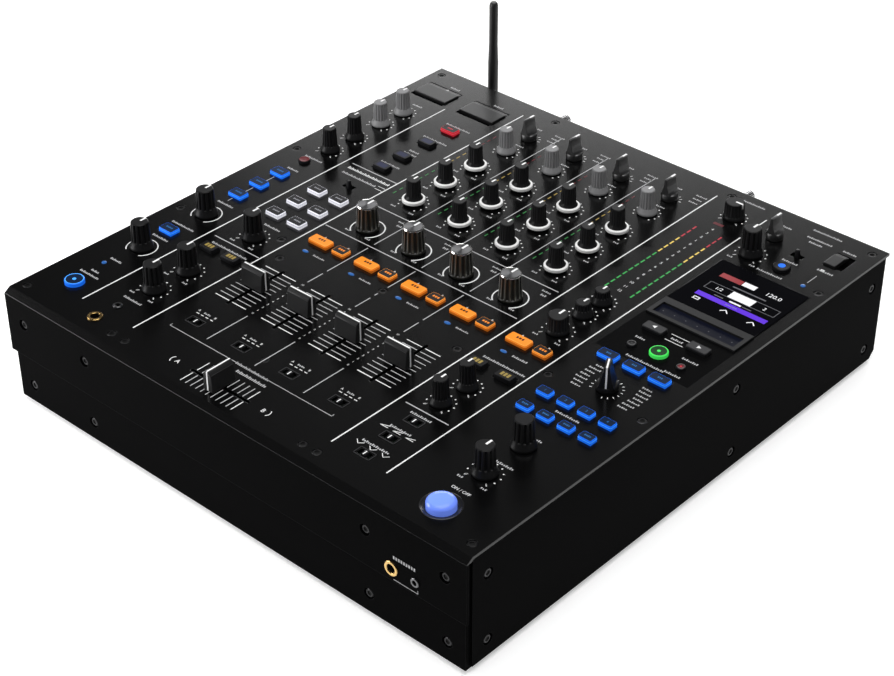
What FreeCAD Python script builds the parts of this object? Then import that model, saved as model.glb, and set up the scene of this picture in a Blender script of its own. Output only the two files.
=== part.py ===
"""Four-channel DJ mixer: a flat sheet-metal case with its controls, boards, sockets and antenna."""
import FreeCAD, Part
import os
import Sketcher
from types import SimpleNamespace

# Driving dimensions in millimetres. Places are panel coordinates: x from the centre line, y from the
# front edge of the flat top, drops and rises from the top's upper face.
DRIVING_DIMENSIONS = {
    # case
    "case_width": 407, "half_depth": 229, "panel_depth": 420.5, "panel_thick": 2, "lip_depth": 5,
    "lip_drop": 3.3, "lip_root": 1.2, "case_drop": 84.6, "sheet": 1.5, "front_thick": 2,
    "front_split": 47.3, "cover_inset": 1, "cover_front": 1.2, "cover_back": 418.5, "cover_chamfer": 5,
    "tray_depth": 416, "tray_head": 5, "lip_room": 1.5, "brace_low": 78, "brace_high": 62,
    "foot_height": 4, "foot_radius": 11, "foot_taper": 1, "foot_place_x": 165, "foot_front": 35,
    "foot_back": 385,
    # allowances
    "through": 1, "screw_play": 0.2, "socket_play": 0.2, "button_play": 0.35, "slot_play": 0.5,
    "flap_play": 0.5,
    # columns of the top panel
    "mic_x": -175.5, "colour_x": -128.5, "pair_half": 10.5, "first_channel": -79, "channel_pitch": 43,
    "master_x": 97.5, "effects_x": 159.5, "curve_x": 95.2, "route_x": 134.7,
    # rows of the channel columns
    "source_row": 379, "trim_row": 353.5, "high_row": 320, "mid_row": 288, "low_row": 255,
    "colour_row": 209, "cue_row": 174.2, "fader_row": 107, "assign_row": 53.5, "cue_left": 10.2,
    "cue_right": 8.9, "fader_shift": 3, "assign_shift": 2.5,
    # places of the single and set-up knobs
    "master_knob_x": 98.5, "master_knob_y": 388.5, "booth_knob_y": 200, "mix_b_x": 95.5, "mix_b_y": 116.3,
    "level_b_x": 94.5, "level_b_y": 93.4, "phones_a_x": -129.5, "mix_a_y": 90.3, "level_a_y": 60.8,
    "parameter_y": 148.8, "mic_effect_y": 148.2, "mic_reverb_y": 89.6, "effect_selector_y": 172.3,
    "effect_time_y": 94.2, "effect_depth_y": 59.9, "mic_level_1_y": 346.8, "mic_level_2_y": 322.6,
    "mic_high_y": 294.8, "mic_low_y": 269.3, "booth_high_y": 244.7, "booth_low_y": 225,
    "route_selector_y": 385, "route_level_y": 357.4,
    # knob shapes
    "shaft_radius": 3, "shaft_drop": 9.5, "shaft_hole": 4, "knob_gap": 0.6, "crown_edge": 0.7,
    "skirt_height": 2.2, "pointer_width": 1.4, "pointer_rise": 0.4, "pointer_inset": 0.8,
    "eq_base": 7.2, "eq_ring": 8.3, "eq_ring_low": 2.2, "eq_ring_high": 4.4, "eq_neck": 6.3,
    "eq_neck_height": 5.4, "eq_cap": 5.3, "eq_cap_height": 6.4, "eq_top": 4.8, "eq_height": 19.4,
    "slim_skirt": 7.1, "slim_waist": 5.6, "slim_waist_height": 5, "slim_top": 4.8, "slim_height": 19,
    "large_skirt": 8.2, "large_waist": 6.8, "large_waist_height": 5.5, "large_top": 6.1,
    "large_height": 20.6, "colour_base": 8.4, "colour_top": 7.8, "colour_height": 19.6,
    "short_height": 10.2, "master_base": 7.8, "master_top": 6.7, "master_height": 13,
    "selector_base": 6, "selector_deck": 5.5, "selector_height": 17.5, "selector_foot": 4.2,
    "selector_ridge": 0.9, "head_base": 7.2, "head_deck": 4.5,
    "head_height": 19, "head_foot": 5.6, "head_ridge": 1.7, "blade_inset": 0.4,
    # potentiometers, key switches and the control board
    "board_top": 12, "board_thick": 1.6, "board_half": 199, "board_front": 1, "board_depth": 412,
    "pot_side": 10, "pot_top": 4.5, "pot_bore": 3.5, "pot_bore_end": 10.6, "key_side": 6, "key_top": 6.6,
    "post_radius": 3, "post_bore": 1.8, "post_floor": 1, "notch_half": 10, "notch_front": 12,
    "notch_back": 7,
    # push buttons
    "button_rise": 2.6, "button_foot": 5.2, "button_flange": 3.2, "flange_width": 0.8, "low_rise": 2,
    "dot_rise": 1.6, "key_length": 13, "key_width": 9, "dark_length": 13.5, "dark_width": 8,
    "cue_a_length": 17.4, "cue_b_length": 11.4, "cue_width": 8.8, "band_length": 14, "band_pitch": 20,
    "beat_length": 16, "beat_half": 17.2, "select_length": 10.4, "select_width": 7.2, "select_pitch": 16.1,
    "select_x": 158.8,
    "mic_on_radius": 6.8, "talk_radius": 4.2, "insert_radius": 6, "tap_radius": 6.2, "dot_radius": 3.2,
    "on_radius": 9.1, "on_rise": 2.8, "on_crown": 5.2, "on_slope": 2, "on_bezel": 12.3, "on_bezel_drop": 1,
    "on_bezel_slope": 1.6,
    # places of the buttons
    "mic_key_x": -178, "colour_key_x": -129.6,
    "reverb_button_y": 116.3, "effect_row_1": 180.6, "effect_row_2": 200.6, "effect_row_3": 221.1,
    "utility_row_1": 276.2, "utility_row_2": 297.2, "utility_row_3": 323.7, "utility_row_4": 348.7,
    "phones_a_row": 119, "phones_b_row": 139, "phones_b_x": 94.8, "phones_b_half": 11.5, "band_row": 199.6,
    "band_x": 158.8, "beat_row": 242.2, "select_row_1": 124.3, "select_row_2": 143.3, "mic_on_y": 31.6,
    "talk_y": 245.5, "insert_x": 160, "insert_y": 357, "tap_x": 160.5, "tap_y": 222.6, "dot_row": 219.5,
    "dot_left": 141.5, "dot_right": 180, "on_x": 160.5, "on_y": 21.6,
    # faders
    "fader_stroke": 45, "cap_width": 19.4, "cap_foot": 4.4, "cap_shoulder": 3, "cap_ridge": 1.1,
    "cap_low": 1, "cap_bend": 13.6, "cap_height": 15.6, "stem_thick": 1.4, "stem_length": 6,
    "stem_drop": 8, "track_width": 9, "track_length": 66, "track_top": 3, "track_groove": 9,
    "cross_x": -17.7, "cross_y": 16.2,
    # slide switches and toggles
    "slider_length": 3.4, "slider_width": 4, "slider_rise": 0.6, "slider_drop": 2.6, "toggle_rise": 5,
    "slot_length": 9.6, "slot_width": 5, "switch_top": 3.2, "switch_margin": 1, "curve_row_1": 27,
    "curve_row_2": 48, "curve_row_3": 69, "lock_y": 241, "route_toggle_y": 376,
    # flaps over the USB sockets
    "flap_hinge": 396.5, "flap_thick": 1.8, "flap_pin": 0.9, "pocket_drop": 11.8, "pocket_wall": 1,
    "pocket_back": 1.5, "port_length": 9, "port_width": 3.2, "port_rise": 3, "port_floor": 0.6,
    "long_flap": 18.5, "long_pocket": 24, "short_flap": 16.5, "short_pocket": 18.8, "left_pocket_x": -177.3,
    "left_pocket_width": 32.5, "mid_pocket_x": -130.6, "mid_pocket_width": 33.5, "right_pocket_x": 184.5,
    "right_pocket_width": 15, "finger_gap": 5.1, "pad_rise": 1.2, "pad_back": 3,
    # display and touch strip
    "screen_width": 69.4, "screen_front": 277, "screen_back": 339, "screen_rise": 0.6, "screen_drop": 4,
    "strip_front": 255.5, "strip_rise": 1.2, "strip_margin": 3, "strip_sink": 1.6, "screen_rim": 2.5,
    "screen_ledge": 2,
    # phones sockets
    "jack_bore": 3.2, "jack_ring": 5, "jack_rise": 0.8, "jack_depth": 30, "jack_body": 7.5, "mini_bore": 1.8,
    "mini_ring": 3, "mini_body": 5, "mini_depth": 15, "jack_a_x": -133.5, "jack_a_y": 14, "mini_a_x": -132.5,
    "mini_a_y": 32, "jack_b_x": 146, "jack_b_drop": 38, "mini_b_x": 164.5,
    # rear sockets
    "upper_line": 24, "lower_line": 42, "bottom_line": 62, "phono_radius": 4.15, "phono_bore": 1.6,
    "phono_reach": 9.5, "phono_collar": 5.6, "phono_collar_thick": 1.5, "phono_body": 6, "phono_depth": 12,
    "phono_pitch": 15, "first_phono": -76.5, "return_x": 62, "jack_reach": 3, "jack_end": 4,
    "first_jack": -150, "jack_pitch": 22, "xlr_radius": 11.5, "xlr_well": 9, "xlr_depth": 14, "xlr_floor": 3,
    "xlr_pin": 1.2, "xlr_pin_ring": 4.2, "xlr_flange": 13, "xlr_flange_thick": 2, "xlr_left": 100,
    "xlr_right": 129, "well_wall": 1, "well_flange": 1.5, "net_x": -176, "net_width": 16, "net_height": 14,
    "net_hole": 12, "net_hole_height": 8, "net_depth": 14, "inlet_x": 172, "inlet_width": 28,
    "inlet_height": 20, "inlet_hole": 22, "inlet_hole_height": 14, "inlet_depth": 16, "post_reach": 13,
    "ground_radius": 4, "ground_neck": 2.2, "ground_neck_bare": 4, "ground_tip": 1.5, "ground_x": 84,
    "ground_drop": 5.5,
    # antenna
    "aerial_x": -173, "aerial_drop": 30, "aerial_y": 446.5, "aerial_knuckle": 5, "aerial_root": 431,
    "aerial_end": 453.8, "aerial_foot": 4, "aerial_tip": 3.4, "aerial_rise": 55, "aerial_upper": 34,
    "aerial_taper": 14, "aerial_crown": 1.8, "aerial_crown_inset": 1.2, "aerial_socket": 6,
    "aerial_neck": 3.7, "aerial_neck_drop": 4, "aerial_gap": 0.4,
    # screws
    "head_radius": 3, "head_thick": 1, "head_seat": 3.2, "head_sink": 1.2, "shank_radius": 1.5,
    "shank_length": 8, "side_seat": 4, "front_screw_x": 187, "front_screw_inner": 125, "screw_upper": 21.5,
    "screw_lower": 71, "side_screw_front": 14.5, "side_screw_mid": 250, "side_screw_back": 405,
    # boards and supply inside
    "main_left": -188, "main_right": 100, "main_front": 150, "main_back": 392, "main_level": 72,
    "spacer_inset": 8, "spacer_back": 30, "chip_height": 3, "fin_thick": 1.2, "fin_length": 30,
    "fin_height": 12, "processor_x": -60, "processor_y": 230, "capacitor_y": 180, "capacitor_radius": 5,
    "capacitor_height": 14, "supply_left": 120, "supply_right": 192, "supply_front": 220,
    "supply_back": 388, "supply_height": 34, "supply_sheet": 2, "transformer_x": 152, "transformer_y": 262,
    "transformer_length": 40, "transformer_width": 45, "transformer_height": 28, "choke_x": 147,
    "choke_y": 320, "choke_length": 26, "choke_width": 30, "choke_height": 18, "reservoir_x": 154,
    "reservoir_y": 360, "reservoir_radius": 11, "reservoir_height": 24,
}
# Panel screws, as (x, y) in panel coordinates.
PANEL_SCREWS = (
    (-195.5, 8.5), (195.5, 8.5), (195.5, 411.5), (-195.5, 411.5), (-80.5, 411.5), (80.5, 411.5),
    (195.5, 347.5), (195.5, 161), (123, 160), (63, 143), (-113, 160), (-96.5, 142.7), (-195.5, 142.3),
    (-195.5, 255), (-17.5, 159.8), (-17.5, 54.3), (-110.7, 9), (-98, 9), (61.5, 9.5), (73.3, 9.5),
)
# Chips of the main board, as (x, y, length, width), and the places of its capacitors along x.
CHIPS = ((-60, 230, 24, 24), (20, 235, 14, 14), (60, 300, 14, 20), (-130, 300, 14, 20))
CAPACITOR_COLUMNS = (-150, -135, 40, 55)
SINK_FINS = 7
CHANNELS = (1, 2, 3, 4)


class Size:
    """A length together with the sheet expression that drives it."""

    def __init__(self, value, text):
        self.value = value
        self.text = text

    def __add__(self, other):
        return Size(self.value + of(other).value, f"({self.text} + {of(other).text})")

    def __sub__(self, other):
        return Size(self.value - of(other).value, f"({self.text} - {of(other).text})")

    def __mul__(self, factor):
        return Size(self.value * factor, f"({self.text} * {factor})")

    def __truediv__(self, factor):
        return Size(self.value / factor, f"({self.text} / {factor})")

    def __neg__(self):
        return Size(-self.value, f"(0 - {self.text})")


def of(number):
    """Take a plain number as a Size."""
    if isinstance(number, Size):
        return number
    return Size(float(number), f"({float(number)})")


doc = FreeCAD.newDocument("dj_mixer")
sheet = doc.addObject("Spreadsheet::Sheet", "dims")
dim = SimpleNamespace()
for line, (alias, number) in enumerate(DRIVING_DIMENSIONS.items(), start=1):
    sheet.set(f"A{line}", alias)
    sheet.set(f"B{line}", str(number))
    sheet.setAlias(f"B{line}", alias)
    setattr(dim, alias, Size(float(number), f"dims.{alias}"))
doc.recompute()

PANEL_FRONT = dim.lip_depth - dim.half_depth
PANEL_TOP = dim.case_drop + dim.foot_height
PANEL_BOTTOM = -dim.panel_thick
BOARD_TOP = -dim.board_top
FLOOR = dim.sheet - dim.case_drop
ALONG_X = FreeCAD.Rotation(FreeCAD.Vector(0, 1, 0), 90)
ALONG_Y = FreeCAD.Rotation(FreeCAD.Vector(1, 0, 0), -90)
UPRIGHT = FreeCAD.Rotation()
nodes = {}
panel_holes = []
board_pieces = []


def turn_about_z(degrees):
    return FreeCAD.Rotation(FreeCAD.Vector(0, 0, 1), degrees)


def bind(item, **sizes):
    """Drive properties of an object from the sheet."""
    for name, size in sizes.items():
        item.setExpression(name, of(size).text)


def put(item, x, y, z, rotation=UPRIGHT):
    """Place an object, given in panel coordinates, in the frame of the whole mixer."""
    item.Placement = FreeCAD.Placement(FreeCAD.Vector(), rotation)
    item.setExpression("Placement.Base.x", of(x).text)
    item.setExpression("Placement.Base.y", (PANEL_FRONT + y).text)
    item.setExpression("Placement.Base.z", (PANEL_TOP + z).text)
    return item


def block(name, low, high):
    """A box between two corners."""
    item = doc.addObject("Part::Box", name)
    spans = [of(top) - bottom for bottom, top in zip(low, high)]
    bind(item, Length=spans[0], Width=spans[1], Height=spans[2])
    return put(item, *low)


def slab(name, x, y, length, width, bottom, top):
    """A box centred on a panel point."""
    half_x = of(length) / 2
    half_y = of(width) / 2
    low = (of(x) - half_x, of(y) - half_y, of(bottom))
    return block(name, low, (of(x) + half_x, of(y) + half_y, of(top)))


def rod(name, start, radius, height, rotation=UPRIGHT):
    """A cylinder from a start point along Z, or along X or Y when turned."""
    item = doc.addObject("Part::Cylinder", name)
    bind(item, Radius=radius, Height=height)
    return put(item, *start, rotation)


def taper(name, start, radius, end_radius, height, rotation=UPRIGHT):
    item = doc.addObject("Part::Cone", name)
    bind(item, Radius1=radius, Radius2=end_radius, Height=height)
    return put(item, *start, rotation)


def merged(name, shapes):
    item = doc.addObject("Part::MultiFuse", name)
    item.Shapes = shapes
    return item


def gathered(name, shapes):
    """Several separate solids kept as one object."""
    item = doc.addObject("Part::Compound", name)
    item.Links = shapes
    return item


def carved(name, base, tools):
    item = doc.addObject("Part::Cut", name)
    item.Base = base
    item.Tool = tools[0] if len(tools) == 1 else gathered(f"{name}_tools", tools)
    return item


def node(label, item):
    item.Label = label
    nodes[label] = item


def panel_slot(name, x, y, length, width):
    """A rectangular hole through the top panel."""
    panel_holes.append(slab(name, x, y, length, width, PANEL_BOTTOM - dim.through, dim.through))


def panel_bore(name, x, y, radius):
    """A round hole through the top panel."""
    start = (x, y, PANEL_BOTTOM - dim.through)
    panel_holes.append(rod(name, start, radius, dim.panel_thick + dim.through * 2))


def outline(body, name, role, points, lift=None):
    """A closed sketch of straight edges whose corners are all driven by the sheet."""
    sketch = body.newObject("Sketcher::SketchObject", name)
    plane = next(feature for feature in body.Origin.OriginFeatures if feature.Role == role)
    sketch.AttachmentSupport = [(plane, "")]
    sketch.MapMode = "FlatFace"
    if lift is not None:
        sketch.setExpression("AttachmentOffset.Base.z", of(lift).text)
    corners = [(of(x), of(y)) for x, y in points]
    vectors = [FreeCAD.Vector(x.value, y.value, 0) for x, y in corners]
    count = len(corners)
    sketch.addGeometry([Part.LineSegment(vectors[i], vectors[(i + 1) % count]) for i in range(count)])
    for i in range(count):
        sketch.addConstraint(Sketcher.Constraint("Coincident", i, 2, (i + 1) % count, 1))
    for i, (x, y) in enumerate(corners):
        for kind, size in (("DistanceX", x), ("DistanceY", y)):
            index = sketch.addConstraint(Sketcher.Constraint(kind, i, 1, size.value))
            sketch.setExpression(f"Constraints[{index}]", size.text)
    return sketch


def padded(body, name, role, points, length, lift=None):
    pad = body.newObject("PartDesign::Pad", name)
    pad.Profile = outline(body, f"{name}_outline", role, points, lift)
    bind(pad, Length=length)


def turned(body, name, profile):
    """A solid of revolution about the body's own Z axis."""
    sketch = outline(body, f"{name}_profile", "XZ_Plane", profile)
    lathe = body.newObject("PartDesign::Revolution", name)
    lathe.Profile = sketch
    lathe.ReferenceAxis = (sketch, ["V_Axis"])
    lathe.Angle = 360


def rectangle(left, front, right, back):
    return [(left, front), (right, front), (right, back), (left, back)]


def channel_x(channel):
    return dim.first_channel + dim.channel_pitch * (channel - 1)


# Knobs: turned caps on a round shaft. Heights are measured from the panel's upper face.
def crown(radius, height):
    """The broken edge and flat top of a cap."""
    return (radius, height - dim.crown_edge), (radius - dim.crown_edge, height)


# For each style: the (radius, height) corners from foot to crown, then the crown's radius and height.
KNOB_STYLES = {
    "eq": ([(dim.eq_base, dim.knob_gap), (dim.eq_base, dim.eq_ring_low), (dim.eq_ring, dim.eq_ring_low),
            (dim.eq_ring, dim.eq_ring_high), (dim.eq_neck, dim.eq_neck_height),
            (dim.eq_cap, dim.eq_cap_height)], dim.eq_top, dim.eq_height),
    "slim": ([(dim.slim_skirt, dim.knob_gap), (dim.slim_skirt, dim.skirt_height),
              (dim.slim_waist, dim.slim_waist_height)], dim.slim_top, dim.slim_height),
    "short": ([(dim.slim_skirt, dim.knob_gap), (dim.slim_skirt, dim.skirt_height),
               (dim.slim_waist, dim.slim_waist_height)], dim.slim_top, dim.short_height),
    "large": ([(dim.large_skirt, dim.knob_gap), (dim.large_skirt, dim.skirt_height),
               (dim.large_waist, dim.large_waist_height)], dim.large_top, dim.large_height),
    "colour": ([(dim.colour_base, dim.knob_gap), (dim.colour_base, dim.skirt_height)],
               dim.colour_top, dim.colour_height),
    "master": ([(dim.master_base, dim.knob_gap), (dim.master_base, dim.skirt_height)],
               dim.master_top, dim.master_height),
    "selector": ([(dim.selector_base, dim.knob_gap)], dim.selector_base, dim.selector_deck),
    "head": ([(dim.head_base, dim.knob_gap)], dim.head_base, dim.head_deck),
}
# Blades that stand on a selector's deck: half width at the foot and at the ridge, and the ridge's height.
BLADES = {
    "selector": (dim.selector_foot, dim.selector_ridge, dim.selector_height),
    "head": (dim.head_foot, dim.head_ridge, dim.head_height),
}


def potentiometer(x, y):
    """The round-bored housing on the board that a knob's shaft turns in."""
    housing = slab("pot_housing", x, y, dim.pot_side, dim.pot_side, BOARD_TOP, -dim.pot_top)
    bore = rod("pot_bore", (x, y, -dim.pot_bore_end), dim.pot_bore, dim.pot_bore_end)
    return carved("potentiometer", housing, [bore])


def knob(name, style, x, y, turn=0):
    """A knob with its pointer, its hole in the panel and its potentiometer."""
    flank, top_radius, height = KNOB_STYLES[style]
    shaft = [(0, -dim.shaft_drop), (dim.shaft_radius, -dim.shaft_drop), (dim.shaft_radius, dim.knob_gap)]
    body = doc.addObject("PartDesign::Body", name)
    turned(body, f"{name}_cap", shaft + flank + list(crown(top_radius, height)) + [(0, height)])
    if style in BLADES:
        foot, ridge, blade_top = BLADES[style]
        reach = top_radius - dim.blade_inset
        foot_height = height - dim.crown_edge
        padded(body, f"{name}_blade", "XZ_Plane",
               [(-foot, foot_height), (foot, foot_height), (ridge, blade_top), (-ridge, blade_top)],
               reach * 2, -reach)
        top_radius, height = reach, blade_top
    half_pointer = dim.pointer_width / 2
    padded(body, f"{name}_pointer", "XY_Plane",
           rectangle(-half_pointer, top_radius / 4, half_pointer, top_radius - dim.pointer_inset),
           dim.pointer_rise * 2, height - dim.pointer_rise)
    put(body, x, y, 0, turn_about_z(turn))
    panel_bore("shaft_hole", x, y, dim.shaft_hole)
    board_pieces.append(potentiometer(x, y))
    return body


CHANNEL_KNOBS = (
    ("source_selector", "selector", dim.source_row), ("trim_knob", "slim", dim.trim_row),
    ("high_knob", "eq", dim.high_row), ("mid_knob", "eq", dim.mid_row), ("low_knob", "eq", dim.low_row),
    ("colour_knob", "colour", dim.colour_row),
)
for channel in CHANNELS:
    for base_name, style, row in CHANNEL_KNOBS:
        label = f"{base_name}_{channel}"
        node(label, knob(label, style, channel_x(channel), row))

# Single knobs: style, place, and how far the pointer is turned from straight back.
MASTER_TURN = -90
EFFECT_TURN = -150
SINGLE_KNOBS = (
    ("master_level_knob", "master", dim.master_knob_x, dim.master_knob_y, MASTER_TURN),
    ("booth_level_knob", "master", dim.master_x, dim.booth_knob_y, 0),
    ("phones_b_mix_knob", "slim", dim.mix_b_x, dim.mix_b_y, 0),
    ("phones_b_level_knob", "slim", dim.level_b_x, dim.level_b_y, 0),
    ("phones_a_mix_knob", "large", dim.phones_a_x, dim.mix_a_y, 0),
    ("phones_a_level_knob", "large", dim.phones_a_x, dim.level_a_y, 0),
    ("colour_parameter_knob", "large", dim.colour_x, dim.parameter_y, 0),
    ("mic_effect_knob", "large", dim.mic_x, dim.mic_effect_y, 0),
    ("mic_reverb_knob", "large", dim.mic_x, dim.mic_reverb_y, 0),
    ("effect_selector", "head", dim.effects_x, dim.effect_selector_y, EFFECT_TURN),
    ("effect_time_knob", "large", dim.effects_x, dim.effect_time_y, 0),
    ("effect_depth_knob", "large", dim.effects_x, dim.effect_depth_y, 0),
)
for label, style, x, y, turn in SINGLE_KNOBS:
    node(label, knob(label, style, x, y, turn))

# Set-up knobs, adjusted once when the mixer is installed: microphone levels and tone, booth tone,
# and the routing of the second output.
SET_UP_KNOBS = (
    ("mic_level_1", "slim", dim.mic_x, dim.mic_level_1_y),
    ("mic_level_2", "slim", dim.mic_x, dim.mic_level_2_y),
    ("mic_high", "slim", dim.mic_x, dim.mic_high_y),
    ("mic_low", "slim", dim.mic_x, dim.mic_low_y),
    ("booth_high", "short", dim.master_x, dim.booth_high_y),
    ("booth_low", "short", dim.master_x, dim.booth_low_y),
    ("route_selector", "selector", dim.route_x, dim.route_selector_y),
    ("route_level", "large", dim.route_x, dim.route_level_y),
)
set_up = [knob(name, style, x, y) for name, style, x, y in SET_UP_KNOBS]
node("set_up_knobs", gathered("set_up_knobs", set_up))


# Push buttons: a cap standing out of the panel on a wider foot that the panel holds in.
def key_switch(x, y):
    board_pieces.append(slab("key_switch", x, y, dim.key_side, dim.key_side, BOARD_TOP, -dim.key_top))


def oblong_button(x, y, length, width):
    cap = slab("button_cap", x, y, length, width, -dim.button_flange, dim.button_rise)
    foot = slab("button_foot", x, y, length + dim.flange_width * 2, width + dim.flange_width * 2,
                -dim.button_foot, -dim.button_flange)
    panel_slot("button_hole", x, y, length + dim.button_play * 2, width + dim.button_play * 2)
    key_switch(x, y)
    return merged("oblong_button", [cap, foot])


def round_button(x, y, radius, rise):
    cap = rod("button_cap", (x, y, -dim.button_flange), radius, rise + dim.button_flange)
    foot = rod("button_foot", (x, y, -dim.button_foot), radius + dim.flange_width,
               dim.button_foot - dim.button_flange)
    panel_bore("button_hole", x, y, radius + dim.button_play)
    key_switch(x, y)
    return merged("round_button", [cap, foot])


KEY = (dim.key_length, dim.key_width)
DARK_KEY = (dim.dark_length, dim.dark_width)
PAIR_COLUMNS = (dim.colour_key_x - dim.pair_half, dim.colour_key_x + dim.pair_half)
EFFECT_ROWS = (dim.effect_row_1, dim.effect_row_2, dim.effect_row_3)
UTILITY_ROWS = (dim.utility_row_1, dim.utility_row_2, dim.utility_row_3, dim.utility_row_4)
buttons = [oblong_button(dim.mic_key_x, row, *KEY) for row in (dim.reverb_button_y,) + EFFECT_ROWS]
buttons += [oblong_button(x, row, *KEY) for x in PAIR_COLUMNS for row in EFFECT_ROWS]
buttons += [oblong_button(dim.colour_key_x, row, *DARK_KEY) for row in UTILITY_ROWS]
buttons += [oblong_button(x, dim.phones_a_row, *DARK_KEY) for x in PAIR_COLUMNS]
for side in (-1, 1):
    buttons.append(oblong_button(dim.phones_b_x + dim.phones_b_half * side, dim.phones_b_row, *DARK_KEY))
    buttons.append(oblong_button(dim.effects_x + dim.beat_half * side, dim.beat_row, dim.beat_length,
                                 dim.dark_width))
for centre in [channel_x(channel) for channel in CHANNELS] + [dim.master_x]:
    buttons.append(oblong_button(centre - dim.cue_left, dim.cue_row, dim.cue_a_length, dim.cue_width))
    buttons.append(oblong_button(centre + dim.cue_right, dim.cue_row, dim.cue_b_length, dim.cue_width))
for step in (-1, 0, 1):
    buttons.append(oblong_button(dim.band_x + dim.band_pitch * step, dim.band_row, dim.band_length,
                                 dim.dark_width))
for row in (dim.select_row_1, dim.select_row_2):
    for step in (-1.5, -0.5, 0.5, 1.5):
        buttons.append(oblong_button(dim.select_x + dim.select_pitch * step, row, dim.select_length,
                                     dim.select_width))
ROUND_BUTTONS = (
    (dim.mic_x, dim.mic_on_y, dim.mic_on_radius, dim.button_rise),
    (dim.mic_key_x, dim.talk_y, dim.talk_radius, dim.low_rise),
    (dim.insert_x, dim.insert_y, dim.insert_radius, dim.low_rise),
    (dim.tap_x, dim.tap_y, dim.tap_radius, dim.button_rise),
    (dim.dot_left, dim.dot_row, dim.dot_radius, dim.dot_rise),
    (dim.dot_right, dim.dot_row, dim.dot_radius, dim.dot_rise),
)
buttons += [round_button(*sizes) for sizes in ROUND_BUTTONS]
node("push_buttons", gathered("push_buttons", buttons))

# Effect on button: a large domed lens in a sunk bezel.
on_base = round_button(dim.on_x, dim.on_y, dim.on_radius, dim.on_rise)
on_dome = taper("on_dome", (dim.on_x, dim.on_y, dim.on_rise), dim.on_radius, dim.on_radius - dim.on_slope,
                dim.on_crown - dim.on_rise)
node("effect_on_button", merged("effect_on_button", [on_base, on_dome]))
panel_holes.append(taper("on_bezel_sink", (dim.on_x, dim.on_y, -dim.on_bezel_drop),
                         dim.on_bezel - dim.on_bezel_slope, dim.on_bezel + dim.on_bezel_slope,
                         dim.on_bezel_drop * 2))


# Faders: a ridged cap on a flat stem that runs in a slot over its track.
def fader(name, x, y, crosswise):
    """A fader cap. Along its own Y it slides; a crosswise one is turned to slide along X."""
    body = doc.addObject("PartDesign::Body", name)
    half_stem = dim.stem_thick / 2
    padded(body, f"{name}_cap", "YZ_Plane", [
        (-dim.cap_foot, dim.cap_low), (dim.cap_foot, dim.cap_low), (dim.cap_shoulder, dim.cap_bend),
        (dim.cap_ridge, dim.cap_height), (-dim.cap_ridge, dim.cap_height),
        (-dim.cap_shoulder, dim.cap_bend)], dim.cap_width, -dim.cap_width / 2)
    padded(body, f"{name}_stem", "XY_Plane",
           rectangle(-half_stem, -dim.stem_length / 2, half_stem, dim.stem_length / 2),
           dim.stem_drop + dim.cap_low * 2, -dim.stem_drop)
    put(body, x, y, 0, turn_about_z(90 if crosswise else 0))
    slot = [dim.stem_thick + dim.slot_play * 2, dim.fader_stroke + dim.stem_length + dim.slot_play * 2]
    track = [dim.track_width, dim.track_length]
    if crosswise:
        slot.reverse()
        track.reverse()
    panel_slot(f"{name}_slot", x, y, *slot)
    housing = slab(f"{name}_housing", x, y, *track, BOARD_TOP, -dim.track_top)
    groove = slab(f"{name}_groove", x, y, slot[0] + dim.through, slot[1] + dim.through, -dim.track_groove, 0)
    board_pieces.append(carved(f"{name}_track", housing, [groove]))
    return body


for channel in CHANNELS:
    label = f"channel_fader_{channel}"
    node(label, fader(label, channel_x(channel) - dim.fader_shift, dim.fader_row, False))
node("crossfader", fader("crossfader", dim.cross_x, dim.cross_y, True))


# Slide switches in slots, and two toggles that stand higher.
def slide_switch(x, y, rise):
    panel_slot("switch_slot", x, y, dim.slot_length, dim.slot_width)
    board_pieces.append(slab("switch_housing", x, y, dim.slot_length + dim.switch_margin * 2,
                             dim.slot_width + dim.switch_margin * 2, BOARD_TOP, -dim.switch_top))
    return slab("slider", x, y, dim.slider_length, dim.slider_width, -dim.slider_drop, rise)


sliders = [slide_switch(channel_x(channel) - dim.assign_shift, dim.assign_row, dim.slider_rise)
           for channel in CHANNELS]
for row in (dim.curve_row_1, dim.curve_row_2, dim.curve_row_3):
    sliders.append(slide_switch(dim.curve_x, row, dim.slider_rise))
for x, row in ((dim.colour_x, dim.lock_y), (dim.effects_x, dim.route_toggle_y)):
    sliders.append(slide_switch(x, row, dim.toggle_rise))
node("slide_switches", gathered("slide_switches", sliders))

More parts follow.
